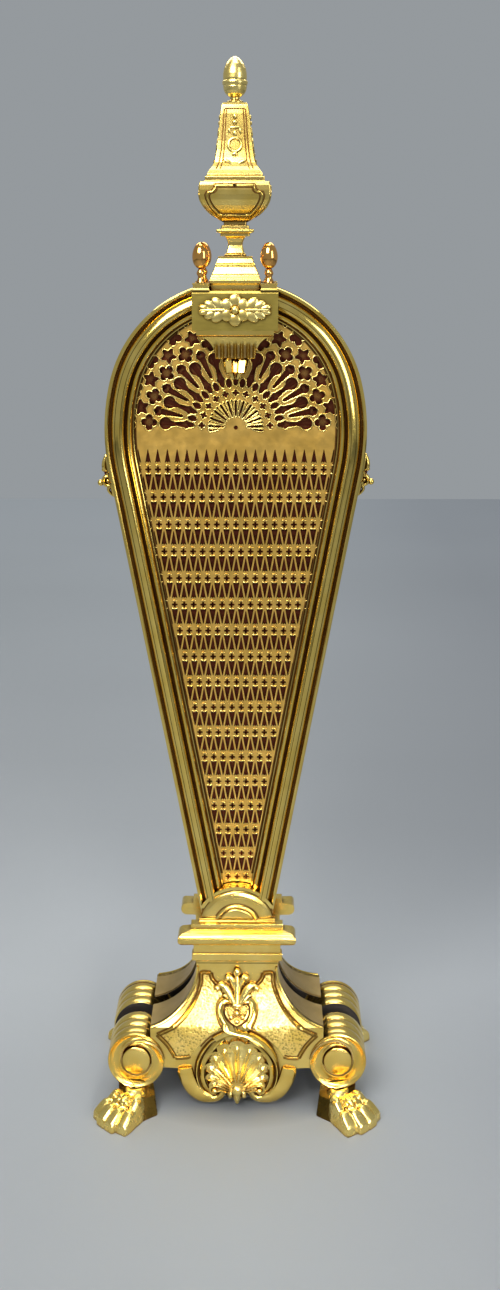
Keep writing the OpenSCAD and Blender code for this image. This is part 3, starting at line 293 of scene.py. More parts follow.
def flat(outline, holes, front, back, lines=()):
    """Sheet with holes. front and back give y at (x, z); lines are heights at which it may bend."""
    verts, faces = [], []
    for loop in [outline] + list(holes):
        if sum(a[0] * b[1] - b[0] * a[1] for a, b in zip(loop, loop[1:] + loop[:1])) < 0:
            loop = loop[::-1]
        faces.append(list(range(len(verts), len(verts) + len(loop))))
        verts.extend(Vector(p) for p in loop)
    v, _, f, _, _, origin = delaunay_2d_cdt(verts, [], faces, 0, 1e-5, True)
    points, kept = [tuple(p) for p in v], [tuple(t) for t, o in zip(f, origin) if o == [0]]
    if lines:
        points, kept = sliced(points, kept, lines)
    n = len(points)
    solid = [(x, front(x, z), z) for x, z in points] + [(x, back(x, z), z) for x, z in points]
    out = kept + [tuple(n + i for i in reversed(t)) for t in kept]
    seen = {(a, b) for t in kept for a, b in zip(t, t[1:] + t[:1])}
    out += [(a, b, n + b, n + a) for a, b in seen if (b, a) not in seen]
    used = sorted({i for t in out for i in t})
    index = {i: k for k, i in enumerate(used)}
    return [solid[i] for i in used], [tuple(index[i] for i in t) for t in out]


def sliced(points, faces, lines):
    """The flat faces, cut along level lines."""
    bm = bmesh.new()
    made = [bm.verts.new((x, 0, z)) for x, z in points]
    for t in faces:
        bm.faces.new([made[i] for i in t])
    for z in lines:
        bmesh.ops.bisect_plane(bm, geom=bm.verts[:] + bm.edges[:] + bm.faces[:], plane_co=(0, 0, z), plane_no=(0, 0, 1))
    bm.verts.index_update()
    out = [(v.co.x, v.co.z) for v in bm.verts], [tuple(v.index for v in f.verts) for f in bm.faces]
    bm.free()
    return out


def slab(outline, holes, d0, d1):
    """Flat sheet from y = -d0 to y = -d1."""
    return flat(outline, holes, lambda x, z: -d1, lambda x, z: -d0)


def tube(path, radius, n=8, flatten=1.0, up=None):
    """Round bar along a path of points; radius is a number or one per point."""
    points = np.array(path, float)
    radii = radius if hasattr(radius, "__len__") else [radius] * len(points)
    tangents = np.gradient(points, axis=0)
    rows = []
    for p, t, r in zip(points, tangents, radii):
        t = t / max(np.linalg.norm(t), 1e-9)
        side = np.cross(t, (0, 1, 0) if up is None else up)
        side = side / max(np.linalg.norm(side), 1e-9)
        over = np.cross(side, t)
        rows.append([tuple(p + r * (math.cos(a) * side + flatten * math.sin(a) * over))
                     for a in (2 * math.pi * i / n for i in range(n))])
    return grid(rows, True, True)


def blob(c, r, n=16, m=10):
    """Ellipsoid about c with radii r."""
    rows = []
    for j in range(m + 1):
        a = math.pi * j / m
        rows.append([(c[0] + r[0] * math.sin(a) * math.cos(2 * math.pi * i / n),
                      c[1] + r[1] * math.sin(a) * math.sin(2 * math.pi * i / n),
                      c[2] + r[2] * math.cos(a)) for i in range(n)])
    return grid(rows, True)


def mirrored(part):
    return [(-p[0], p[1], p[2]) for p in part[0]], part[1]


def both_sides(parts):
    return parts + [mirrored(q) for q in parts]


def four_ways(parts):
    """The parts and their copies turned about the z axis by one, two and three quarter turns."""
    out = []
    for points, faces in parts:
        out += [(points, faces), ([(-y, x, z) for x, y, z in points], faces),
                ([(-x, -y, z) for x, y, z in points], faces), ([(y, -x, z) for x, y, z in points], faces)]
    return out


def pod(c, r, turn=0.0, plane="xy", n=16, m=10):
    """Ellipsoid about c with radii r, its first axis turned within a plane."""
    ca, sa = math.cos(rad(turn)), math.sin(rad(turn))
    points, faces = blob((0, 0, 0), r, n, m)
    if plane == "xy":
        points = [(c[0] + x * ca - y * sa, c[1] + x * sa + y * ca, c[2] + z) for x, y, z in points]
    else:
        points = [(c[0] + x * ca - z * sa, c[1] + y, c[2] + x * sa + z * ca) for x, y, z in points]
    return points, faces


def line_part(path, width=1.0):
    """Dark line along a path on a surface that faces about y, for chased lines and for painted shade; width may differ
    from point to point.
    """
    return tube(path, [w / 2 for w in width] if hasattr(width, "__len__") else width / 2, 6, 0.25)


# ---- frame outline ----
def leg_x(z, t=0.0):
    return LEG_TOP_X - t / math.cos(rad(LEG_A)) + (z - LEG_TOP_Z) * math.tan(rad(LEG_A))


def pear_path(z_low):
    """Right foot to left foot: point on the outer edge and the normal that points inward."""
    right = []
    ca, sa = math.cos(rad(LEG_A)), math.sin(rad(LEG_A))
    for i in range(13):
        z = z_low + (LEG_TOP_Z - z_low) * i / 13
        right.append((leg_x(z), z, -ca, sa))
    for i in range(13):
        a = rad(-LEG_A + (LEG_A + SHOULDER_A) * i / 13)
        right.append((SHOULDER_R * math.cos(a) - SHOULDER_X, SHOULDER_Z + SHOULDER_R * math.sin(a),
                      -math.cos(a), -math.sin(a)))
    for i in range(41):
        a = rad(SHOULDER_A + (90 - SHOULDER_A) * i / 40)
        right.append((ARCH_R * math.cos(a), ARCH_Z + ARCH_R * math.sin(a), -math.cos(a), -math.sin(a)))
    return right + [(-x, z, -nx, nz) for x, z, nx, nz in reversed(right[:-1])]


def pear_outline(t, z_low):
    """Outline of the pear inset by t, closed level at z_low."""
    half = [(leg_x(z_low, t), z_low)] + arc(-SHOULDER_X, SHOULDER_Z, SHOULDER_R - t, -LEG_A, SHOULDER_A, 8)
    half += arc(0, ARCH_Z, ARCH_R - t, SHOULDER_A, 90, 24)[1:]
    return half + [(-x, z) for x, z in reversed(half[:-1])]


FRAME_PROFILE = (
    [(0, 0), (0, 4.6)] + [(1.45 + 1.5 * math.cos(rad(a)), 5.7 + 1.6 * math.sin(rad(a))) for a in range(165, 10, -30)]
    + [(3.1, 5.0), (3.5, 4.6), (4.4, 4.7), (4.8, 6.0), (5.3, 7.4), (6.2, 8.8), (7.3, 9.6), (7.5, 9.35), (7.7, 9.75),
       (8.9, 10.4), (10.0, 10.8), (11.0, 10.95), (11.2, 10.7), (11.4, 10.95), (12.4, 10.6), (13.2, 9.8), (13.7, 8.6),
       (13.9, 5.2), (14.2, 4.5), (15.1, 4.5), (15.4, 5.4)]
    + [(17.0 + 1.5 * math.cos(rad(a)), 5.8 + 1.5 * math.sin(rad(a))) for a in range(165, 10, -30)]
    + [(18.6, 5.2), (19.2, 4.2), (20.4, 3.6), (20.4, 1.2), (16.4, 1.2), (16.4, 0)])
FRAME_FOOT = 153.7


def frame_moulding():
    rows = []
    path = pear_path(FRAME_FOOT)
    for k, (x, z, nx, nz) in enumerate(path):
        row = []
        for t, h in FRAME_PROFILE:
            px, pz = x + nx * t, z + nz * t
            if k in (0, len(path) - 1):
                px -= math.copysign((pz - FRAME_FOOT) * math.tan(rad(LEG_A)), x)
                pz = FRAME_FOOT
            row.append((px, -SLOT_D - h, pz))
        rows.append(row)
    return grid(rows, True, True)


def hub_outline(inset=1.0):
    low, high = 10.0, 80.0
    for _ in range(40):
        mid = (low + high) / 2
        if HUB_R * math.cos(rad(mid)) > leg_x(PIVOT_Z + HUB_R * math.sin(rad(mid)), inset):
            low = mid
        else:
            high = mid
    top = arc(0, PIVOT_Z, HUB_R, low, 180 - low, 40)
    return [(leg_x(BODY_Z, inset), BODY_Z)] + top + [(-leg_x(BODY_Z, inset), BODY_Z)], low


hub_line, hub_low = hub_outline()
rim = arc(0, PIVOT_Z, HUB_R, hub_low, 180 - hub_low, 40) + arc(0, PIVOT_Z, HUB_R - 2.6, 180 - hub_low, hub_low, 40)
pivot_hole = arc(0, PIVOT_Z, 4.1, 0, 345, 23)
stop_holes = [arc(s * 17, 128.7, 2.6, 0, 330, 11) for s in (-1, 1)]
front_and_rear("frame_moulding", [
    frame_moulding(), slab(hub_line, [pivot_hole] + stop_holes, SLOT_D + 0.1, HUB_FACE),
    slab(rim, [], HUB_FACE - 1, HUB_FACE + 2.2)], FRAME, "frame", sharp=28)
# Dark lines along the moulding's grooves and its inner edge: painted shade.
groove_lines = [line_part([(x + nx * t, -SLOT_D - h, z + nz * t) for x, z, nx, nz in pear_path(FRAME_FOOT + 1)], w)
                for t, h, w in ((3.8, 4.75, 1.1), (14.6, 4.6, 1.3), (19.4, 4.3, 1.0))]
front_and_rear("frame_lines", groove_lines, DARK_LINES_AND_SHADE)


def y_lathe(profile, z, n=72):
    """Turned form about a level axis that points to the front; profile is a list of radius and depth."""
    return grid([[(max(r, 0.001) * math.cos(2 * math.pi * i / n), -d, z + max(r, 0.001) * math.sin(2 * math.pi * i / n))
                  for i in range(n)] for r, d in profile], True, True)


def clipped(part, z):
    """The part above height z, closed again."""
    bm = bmesh.new()
    made = [bm.verts.new(p) for p in part[0]]
    for f in part[1]:
        bm.faces.new([made[i] for i in f])
    bmesh.ops.remove_doubles(bm, verts=bm.verts, dist=0.002)
    cut = bmesh.ops.bisect_plane(bm, geom=bm.verts[:] + bm.edges[:] + bm.faces[:], plane_co=(0, 0, z),
                                 plane_no=(0, 0, 1), clear_inner=True)
    rim_edges = [g for g in cut["geom_cut"] if isinstance(g, bmesh.types.BMEdge)]
    bmesh.ops.contextual_create(bm, geom=rim_edges)
    bm.verts.index_update()
    out = [tuple(v.co) for v in bm.verts], [tuple(v.index for v in f.verts) for f in bm.faces]
    bm.free()
    return out


cover = rounded([(0, 20.6), (13.2, 20.6), (14.0, 20.0), (14.8, 20.0), (15.4, 21.0), (16.4, 21.2), (17.2, 20.7), (17.8, 19.6),
                 (22, 19.4), (25.0, 18.9), (27.0, 18.0), (28.0, 16.8), (28.0, 15.0), (0, 15.0)], 0.3)
front_and_rear("hub_dome", [clipped(y_lathe(cover, PIVOT_Z), FRAME_FOOT)], CASTING, "hub_cover", sharp=40)
hub_lines = [line_part([(r * math.cos(rad(a)), -d, PIVOT_Z + r * math.sin(rad(a))) for a in range(low, 181 - low, 6)], w)
             for r, d, w, low in ((14.2, 20.1, 0.8, 26), (18.2, 19.7, 0.9, 22), (28.4, 16.4, 1.1, 14))]
front_and_rear("hub_lines", hub_lines, DARK_LINES_AND_SHADE)


# ---- pierced sheets ----
def star(cx, cz, arm, waist, turn=0.0, points=4):
    """Cross-shaped hole with blunt arms."""
    out = []
    for k in range(points):
        a = rad(turn + 360 / points * k)
        ca, sa = math.cos(a), math.sin(a)
        for u, v in ((waist, -waist), (arm * 0.8, -waist), (arm, 0), (arm * 0.8, waist)):
            out.append((cx + u * ca - v * sa, cz + u * sa + v * ca))
    return out


def quatrefoil(cx, cz, r, turn=45.0):
    """Four round lobes about a point."""
    out = []
    for k in range(4):
        a = turn + 90 * k
        lx, lz = cx + r * 0.62 * math.cos(rad(a)), cz + r * 0.62 * math.sin(rad(a))
        out += arc(lx, lz, r * 0.46, a - 115, a + 115, 7)
    return out


def radial(points, a):
    """Points given as distance and offset, turned to direction a about the fan's middle."""
    ca, sa = math.cos(rad(a)), math.sin(rad(a))
    return [(r * ca - w * sa, FAN_Z + r * sa + w * ca) for r, w in points]


def both(half):
    return half + [(r, -w) for r, w in reversed(half) if w > 1e-6]


def keyhole(r0, r1, bulb, neck):
    half = [(r0, 0), (r0 + 1.4, neck), (r0 + 4.5, neck * 1.5), (r0 + 6, neck * 2.2), (r0 + 7.6, neck * 1.5),
            (r1 - bulb * 2.6, neck * 0.9)]
    half += [(r1 - bulb + bulb * math.cos(rad(a)), bulb * math.sin(rad(a))) for a in range(150, 0, -25)]
    return both(half + [(r1, 0)])


def inside(points, edge):
    """True where all the points lie inside the pear inset by edge."""
    for x, z in points:
        x = abs(x)
        if z > ARCH_Z + (ARCH_R - edge) * math.sin(rad(SHOULDER_A)) and math.hypot(x, z - ARCH_Z) > ARCH_R - edge:
            return False
        if z <= LEG_TOP_Z and x > leg_x(z, edge):
            return False
        if z > LEG_TOP_Z and math.hypot(x + SHOULDER_X, z - SHOULDER_Z) > SHOULDER_R - edge:
            return False
    return True


def clamped(points, edge):
    """The hole cut off along the pear inset by edge, or nothing when little of it is left."""
    out, moved = [], 0
    for x, z in points:
        s, u = (1 if x >= 0 else -1), abs(x)
        if z > ARCH_Z + (ARCH_R - edge) * math.sin(rad(SHOULDER_A)):
            d = math.hypot(u, z - ARCH_Z)
            k = min(1.0, (ARCH_R - edge) / max(d, 1e-6))
            new = (u * k, ARCH_Z + (z - ARCH_Z) * k)
        elif z > LEG_TOP_Z:
            d = math.hypot(u + SHOULDER_X, z - SHOULDER_Z)
            k = min(1.0, (SHOULDER_R - edge) / d)
            new = ((u + SHOULDER_X) * k - SHOULDER_X, SHOULDER_Z + (z - SHOULDER_Z) * k)
        else:
            new = (min(u, leg_x(z, edge)), z)
        moved += abs(new[0] - u) + abs(new[1] - z) > 1e-6
        out.append((s * new[0], new[1]))
    if moved > 0.62 * len(points):
        return None
    clean = [q for i, q in enumerate(out) if math.dist(q, out[i - 1]) > 0.12]
    area = sum(a[0] * b[1] - b[0] * a[1] for a, b in zip(clean, clean[1:] + clean[:1])) / 2
    return clean if abs(area) > 3.0 or (not moved and len(clean) > 2) else None


def fan_holes(edge, turn=0.0, share=1.0):
    """Fan of rays, crosses, keyholes and stars about the middle of the arch, turned and drawn larger or smaller by share."""
    holes = []
    pitch, first = 17.32, 3.4
    for k in range(-1, 12):
        a = first + pitch * k + turn
        holes.append(radial(both([(7.6, 0), (8.6, 0.35), (18.2, 1.5), (19.4, 0)]), a))
        cx, cz = radial([(24.0, 0)], a)[0]
        holes.append(star(cx, cz, 2.4, 0.8, a))
        holes.append(radial(keyhole(28.6, 53.6, 4.3, 1.35), a))
        cx, cz = radial([(60.8, 0)], a)[0]
        holes.append(quatrefoil(cx, cz, 5.2, a))
        cx, cz = radial([(75.2, 0)], a)[0]
        holes.append(quatrefoil(cx, cz, 5.4, a + 45))
    for k in range(-1, 11):
        a = first + pitch * (k + 0.5) + turn
        holes.append(radial(both([(11.8, 0), (12.8, 0.4), (18.4, 1.1), (19.4, 0)]), a))
        holes.append(radial(both([(27.6, 0), (28.8, 1.5), (31.0, 2.1), (33.2, 1.4), (34.6, 0)]), a))
        holes.append(radial(both([(37.2, 0), (38.4, 1.0), (48, 1.8), (52.4, 2.1), (54.2, 3.5), (56.8, 2.9), (58.6, 0)]), a))
        cx, cz = radial([(67.6, 0)], a)[0]
        holes.append(five_star(cx, cz, 5.5, 3.2, a))
        cx, cz = radial([(81.4, 0)], a)[0]
        holes.append(five_star(cx, cz, 4.6, 2.8, a + 36))
    holes = [[(x * share, FAN_Z + (z - FAN_Z) * share) for x, z in h] for h in holes]
    holes = [clamped(h, edge) for h in holes if min(p[1] for p in h) > FAN_Z - 3.6]
    return [h for h in holes if h]


def five_star(cx, cz, r0, r1, turn):
    """Star with five blunt points."""
    out = []
    for k in range(5):
        for a, r in ((-6, r0), (6, r0), (36, r1)):
            b = rad(turn + 72 * k + a)
            out.append((cx + r * math.cos(b), cz + r * math.sin(b)))
    return out


def lattice_holes(edge, z_low, first=498.6, offset=0.0):
    """Rows of small crosses, with a wedge hanging under each and one standing over each; also the cross centres."""
    holes, crosses = [], []
    row = 0
    z = first
    while z > z_low:
        shift = (row % 2) * 0.5 + offset
        for i in range(-14, 15):
            x = (i + shift) * COLUMN_W
            mark = star(x, z, 2.3, 0.78, 0)
            if inside(mark, edge + 0.3):
                holes.append(mark)
                crosses.append((x, z))
            wedge = [(x - 2.3, z - 3.7), (x - 0.9, z - 3.3), (x, z - 3.9), (x + 0.9, z - 3.3), (x + 2.3, z - 3.7),
                     (x + 0.4, z - 13.9), (x, z - 14.6), (x - 0.4, z - 13.9)]
            if z - 14.6 > z_low - 4 and clamped(wedge, edge):
                holes.append(clamped(wedge, edge))
            top = 15.2 if row else 14.6
            wedge = [(x + 2.05, z + 4.6), (x + 0.8, z + 5.6), (x, z + 4.7), (x - 0.8, z + 5.6), (x - 2.05, z + 4.6),
                     (x - 1.75, z + 6.4), (x - 0.35, z + top - 1), (x, z + top), (x + 0.35, z + top - 1), (x + 1.75, z + 6.4)]
            if z + 4 > z_low and z + top < LATTICE_TOP + 4 and clamped(wedge, edge):
                holes.append(clamped(wedge, edge))
        z -= ROW_H
        row += 1
    return holes, crosses


SHEET_EDGE = BAND_W - 4 + 0.3
HOLE_EDGE = BAND_W - 3.3
panel_holes, panel_crosses = lattice_holes(HOLE_EDGE, 182)
panel_fan = fan_holes(HOLE_EDGE)
panel_holes += panel_fan
panel_holes.append(arc(0, FAN_Z, 1.5, 0, 330, 11))
lower = arc(0, PIVOT_Z, HUB_R + 0.6, 66, 114, 24)
edge_top = pear_outline(SHEET_EDGE, 176.6)
front_and_rear("pierced_panel", [slab([edge_top[0]] + edge_top[1:-1] + [edge_top[-1]] + list(reversed(lower)),
                                      panel_holes, SLOT_D + 0.1, SLOT_D + 1.1)], SHEET, "panel", sharp=20)


def rings_part():
    """Raised rim above and below each cross."""
    points, faces = [], []
    for x, z in panel_crosses:
        for a0 in (48, 228):
            path = [(x + 3.0 * math.cos(rad(a0 + 12 * i)), -SLOT_D - 1.2, z + 3.2 * math.sin(rad(a0 + 12 * i)))
                    for i in range(8)]
            p, f = tube(path, [0.15, 0.45, 0.56, 0.6, 0.6, 0.56, 0.45, 0.15], 6)
            faces.extend(tuple(len(points) + i for i in t) for t in f)
            points.extend(p)
    return points, faces


def rim_part(hole, out=0.5, r=0.48):
    """Raised edge round a hole."""
    n = len(hole)
    cx, cz = sum(p[0] for p in hole) / n, sum(p[1] for p in hole) / n
    area = sum(a[0] * b[1] - b[0] * a[1] for a, b in zip(hole, hole[1:] + hole[:1]))
    line = hole if area > 0 else hole[::-1]
    rows = []
    for i in range(n):
        a, p, b = line[i - 1], line[i], line[(i + 1) % n]
        tx, tz = b[0] - a[0], b[1] - a[1]
        d = max(math.hypot(tx, tz), 1e-6)
        nx, nz = tz / d, -tx / d
        rows.append([(p[0] + nx * (out + r * math.cos(q)), -SLOT_D - 1.1 - r * math.sin(q), p[1] + nz * (out + r * math.cos(q)))
                     for q in (0, math.pi / 4, math.pi / 2, 3 * math.pi / 4, math.pi)])
    rows.append(rows[0])
    return grid(rows)


front_and_rear("panel_bosses", [rings_part()] + [rim_part(h) for h in panel_fan], BRIGHT_RELIEF, sharp=60)
# Dark line on the panel along the moulding's inner edge: painted shadow of the moulding's lip.
shadow_edge = [(x + nx * (BAND_W + 0.7), -SLOT_D - 1.15, z + nz * (BAND_W + 0.7)) for x, z, nx, nz in pear_path(182)]
front_and_rear("panel_edge_line", [line_part(shadow_edge, 1.7)], DARK_LINES_AND_SHADE)


# ---- leaves ----
def leaf_part(n, k, side):
    """One leaf of the stack: k counts from the front, n from the middle of the fan outward."""
    y = -5.25 + 1.5 * k
    right = [(leg_x(PIVOT_Z, 12), PIVOT_Z)]
    if n == 4:
        ca, sa = math.cos(rad(LEG_A)), math.sin(rad(LEG_A))
        right += [(leg_x(492) + u * ca + v * sa, 492 - u * sa + v * ca) for u, v in ((-12, -6.5), (5, -6.5), (5, 6.5), (-12, 6.5))]
        right += arc(-SHOULDER_X, SHOULDER_Z, SHOULDER_R - 12, -LEG_A, SHOULDER_A, 8)[1:]
    else:
        right += arc(-SHOULDER_X, SHOULDER_Z, SHOULDER_R - 12, -LEG_A, SHOULDER_A, 8)
    right += arc(0, ARCH_Z, ARCH_R - 12, SHOULDER_A, 90, 24)[1:]
    left = arc(0, ARCH_Z, ARCH_R - 12, 90, 180 - SHOULDER_A, 24)[1:]
    left += arc(SHOULDER_X, SHOULDER_Z, SHOULDER_R - 12, 180 - SHOULDER_A, 180 + LEG_A, 8)[1:] + [(-leg_x(PIVOT_Z, 12), PIVOT_Z)]
    tail = arc(0, PIVOT_Z, 13.6, 180, 360, 20)
    holes = [arc(0, PIVOT_Z, 4.06, 0, 345, 23)]
    if n < 4:
        reach = 24 if n % 2 else 31
        outer = arc(0, PIVOT_Z, reach + 1.45, 80, 100, 8)
        holes.append(outer + arc(0, PIVOT_Z, reach - 1.45, 100, 80, 8))
    holes += fan_holes(16.4, (8.66, 4.33, 0.0, 12.99, 6.5, 2.2, 10.8, 15.2)[k], (1.0, 1.17, 0.86, 1.09, 0.93, 1.13, 1.04, 0.97)[k])
    cut, _ = lattice_holes(16.4, 209, 498.6 - ((k + 1) % 2) * ROW_H / 2, (0, 0.25, -0.25, 0.36)[k % 4])
    points, faces = slab(right + left + tail, holes + cut, -y - 0.45, -y + 0.45)
    return [(p[0] * side, p[1], p[2]) for p in points], faces


for side, name, first in ((-1, "left", 0), (1, "right", 4)):
    for n in range(1, 5):
        piece(name + "_leaf_%d_sheet" % n, [leaf_part(n, first + n - 1, side)], LEAF, name + "_leaf_%d" % n,
              ["leaf_%s%d" % (name[0], n)], sharp=20)

# ---- base castings ----


def face_depth(z):
    """Depth of the base's hollow face at height z."""
    if z >= FLARE_Z:
        return FACE_Y - FACE_R
    if z <= FACE_FOOT:
        return BASE_D
    return FACE_Y - math.sqrt(FACE_R ** 2 - (FLARE_Z - z) ** 2)


def side_x(z):
    """Half width of the base's hollow sides at height z."""
    if z >= FLARE_Z:
        return SIDE_X - SIDE_R
    return SIDE_X - math.sqrt(max(SIDE_R ** 2 - (FLARE_Z - z) ** 2, 0.0))


def face_normal(z):
    """Outward direction of the face, as its y and z parts."""
    if z >= FLARE_Z or z <= FACE_FOOT:
        return -1.0, 0.0
    cy, cz = -FACE_Y + 0.0, FLARE_Z
    y = -face_depth(z)
    return (cy - y) / FACE_R, (cz - z) / FACE_R


def on_face(x, z, h=0.0):
    """Point at height h over the base's face."""
    ny, nz = face_normal(z)
    return x, -face_depth(z) + ny * h, z + nz * h


WALL = 4.0
FLANK_WALL = 1.3
side_z = [BODY_Z, 117, FLARE_Z] + [FLARE_Z - (FLARE_Z - FACE_FOOT) * math.sin(rad(90 * i / 24)) for i in range(1, 25)]
lobe = [(45.6, 34.3), (44.9, 29), (43.2, 23.8), (41.3, 17.8), (38.6, 12.4), (34.8, 8), (30.4, 5.2), (26.2, 4), (22.2, 3.8),
        (18.2, 4.1), (14.4, 5.3), (11.2, 7.8), (9, 11.5), (6.6, 13.4), (4.4, 9.6), (2.4, 6), (0, 5)]
round_volute = [(SCROLL_X + 0.985 * SCROLL_RX * math.cos(rad(a)), SCROLL_Z + 0.985 * SCROLL_RZ * math.sin(rad(a)))
                for a in range(122, 196, 4)]
half_face = [(side_x(z), z) for z in side_z] + round_volute + lobe
half_face[len(side_z) - 1] = (FLARE_END, FACE_FOOT)
face_line = half_face + [(-x, z) for x, z in reversed(half_face[:-1])]


def body_part():
    return flat(face_line, [], lambda x, z: -face_depth(z), lambda x, z: -face_depth(z) + WALL,
                [FACE_FOOT + 2.5 * i for i in range(18)])


def flank_part():
    """Hollow side of the casting, from the face back to the gap between the castings."""
    rows = []
    for z in side_z:
        x = min(side_x(z), FLARE_END)
        y = -face_depth(z)
        steep = (FLARE_Z - z) / SIDE_R if z < FLARE_Z else 0.0
        inx, inz = -math.sqrt(max(1 - steep ** 2, 0)) * FLANK_WALL, -steep * FLANK_WALL
        rows.append([(x, y, z), (x, -SLOT_D, z), (x + inx, -SLOT_D, z + inz), (x + inx, y + WALL, z + inz)])
    return grid(rows, True, True)


def flank_lining():
    """Black sheet just inside the flank, reaching across behind the face: painted shade in the hollow casting."""
    rows = []
    for z in side_z:
        x = min(side_x(z), FLARE_END)
        steep = (FLARE_Z - z) / SIDE_R if z < FLARE_Z else 0.0
        wall = FLANK_WALL + 0.15
        inx, inz = -math.sqrt(max(1 - steep ** 2, 0)) * wall, -steep * wall
        y = -face_depth(z) + WALL + 0.1
        rows.append([(x + inx, -SLOT_D + 0.02, z + inz), (x + inx, y, z + inz), (0.3, y, z + inz), (0.3, y + 1.0, z + inz),
                     (x + inx - 1.0, y + 1.0, z + inz), (x + inx - 1.0, -SLOT_D + 0.02, z + inz)])
    y = -BASE_D + WALL + 0.1
    for z, x in ((68, 64), (62, 62), (50, 55), (35.4, 54.5), (35, 44), (24, 41.5), (13, 37), (7, 28)):
        rows.append([(x, y, z), (x - 0.1, y, z), (0.3, y, z), (0.3, y + 1.0, z), (x - 1.0, y + 1.0, z), (x - 1.0, y + 0.9, z)])
    return grid(rows, True, True)


def top_part():
    """Roof and shoulders behind the face at the top of the casting."""
    w, d = side_x(BODY_Z), face_depth(BODY_Z)
    return grid([[(-w, -d, z), (w, -d, z), (w, -SLOT_D, z), (-w, -SLOT_D, z)] for z in (BODY_Z - WALL, BODY_Z)], True, True)


front_and_rear("base_face", [body_part(), top_part()], CASTING, "base_casting")
front_and_rear("base_flanks", both_sides([flank_part()]), INNER, sharp=50)
front_and_rear("base_soot", both_sides([flank_lining()]), SHADE_BLACK, sharp=50)
edge_path = [on_face(side_x(z) - 0.9, z, 0.15) for z in side_z[2:-1]]
front_and_rear("base_edge_beads", [tube(edge_path, 1.0, 8), mirrored(tube(edge_path, 1.0, 8))], POLISHED, sharp=60)


EYE = 0.49


def split(b):
    """Radius of the line between the volute's windings, b degrees on from its inward side."""
    return EYE + 0.05 + (0.95 - EYE) * max(0.0, 1 - b / 175.0) ** 1.2


def volute_strip():
    """Hollow band with raised edges that winds in to the eye of the right volute."""
    rows = []
    turns = 106
    for i in range(turns + 1):
        b = 4 + 5.0 * i
        outer = 0.985 if b <= 360 else split(b - 360) - 0.035
        inner = split(b) if b < 175 else EYE + 0.05
        outer = max(outer, inner + 0.01)
        wide = (outer - inner) * SCROLL_RX
        lift = -0.9 * max(0.0, min(1.0, (b - 270) / 120.0))
        lip, depth = min(1.5, wide * 0.3), 1.3 * min(1.0, wide / 8.0)
        section = [(0.0, -3.4), (0.02, -0.2), (0.1, 0.15), (min(0.9, wide * 0.2), 0.25)]
        reach = wide - lip - section[-1][0]
        section += [(section[3][0] + reach * k / 10, 0.2 - depth * math.sin(math.pi * (k / 10) ** 0.85)) for k in range(1, 10)]
        section += [(wide - lip, 0.7), (wide - lip * 0.5, 1.1), (wide - lip * 0.12, 0.75), (wide, 0.1), (wide, -3.4)]
        a = rad(180 - b)
        rows.append([(SCROLL_X + (inner * SCROLL_RX + o) * math.cos(a), -BASE_D - h - lift,
                      SCROLL_Z + (inner * SCROLL_RX + o) * SCROLL_RZ / SCROLL_RX * math.sin(a)) for o, h in section])
    return grid(rows, True, True)


def volute_ring(f, y, n=144):
    return [(SCROLL_X + SCROLL_RX * f * math.cos(2 * math.pi * i / n), -y,
             SCROLL_Z + SCROLL_RZ * f * math.sin(2 * math.pi * i / n)) for i in range(n)]


def barrel_part():
    """The volute's ribbed barrel behind its face."""
    line = [(SLOT_D, 0.94)]
    line += [(SLOT_D + 0.4 + 30.2 * i / 36, 0.945 + 0.05 * math.sqrt(abs(math.sin(math.pi * 3 * i / 36)))) for i in range(37)]
    line += [(37.6, 0.95), (38.2, 0.975), (39.4, 0.99), (39.9, 0.98), (39.9, 0.9), (37.4, 0.88)]
    rows = [volute_ring(f, y) for y, f in line]
    points, faces = grid(rows, True)
    faces.append(tuple(range((len(rows) - 1) * 144, len(rows) * 144)))
    return points, faces


def eye_part():
    rows = [volute_ring(EYE * f, y) for f, y in ((0.97, BASE_D - 3.0), (1.0, BASE_D - 0.2), (0.98, BASE_D + 0.4), (0.93, BASE_D + 0.8),
                                                 (0.75, BASE_D + 1.3), (0.5, BASE_D + 1.7), (0.2, BASE_D + 1.9), (0.01, BASE_D + 1.95))]
    return grid(rows, True)


def barrel_back():
    return grid([volute_ring(0.935, SLOT_D + 0.05), volute_ring(0.935, SLOT_D - 0.25), volute_ring(0.01, SLOT_D - 0.25)], True)


front_and_rear("base_volutes", both_sides([volute_strip(), eye_part()]), CASTING, sharp=40)
front_and_rear("base_barrels", both_sides([barrel_part()]), CASTING, sharp=45)
front_and_rear("base_barrel_backs", both_sides([barrel_back()]), SHADE_BLACK)
# Lines in the split between the volute's windings and round the eye's undercut, in darker brass: painted shade.
spiral_line = [(SCROLL_X - (split(b) - 0.02) * SCROLL_RX * math.cos(rad(b)), -BASE_D - 0.25,
                SCROLL_Z + (split(b) - 0.02) * SCROLL_RZ * math.sin(rad(b))) for b in range(14, 536, 4) if b < 175]
ring_line = [(SCROLL_X + (EYE + 0.025) * SCROLL_RX * math.cos(rad(a)), -BASE_D + 0.3,
              SCROLL_Z + (EYE + 0.025) * SCROLL_RZ * math.sin(rad(a))) for a in range(-165, 31, 6)]
front_and_rear("base_volute_lines", both_sides([line_part(spiral_line, 1.0), line_part(ring_line, 0.7)]), INNER)


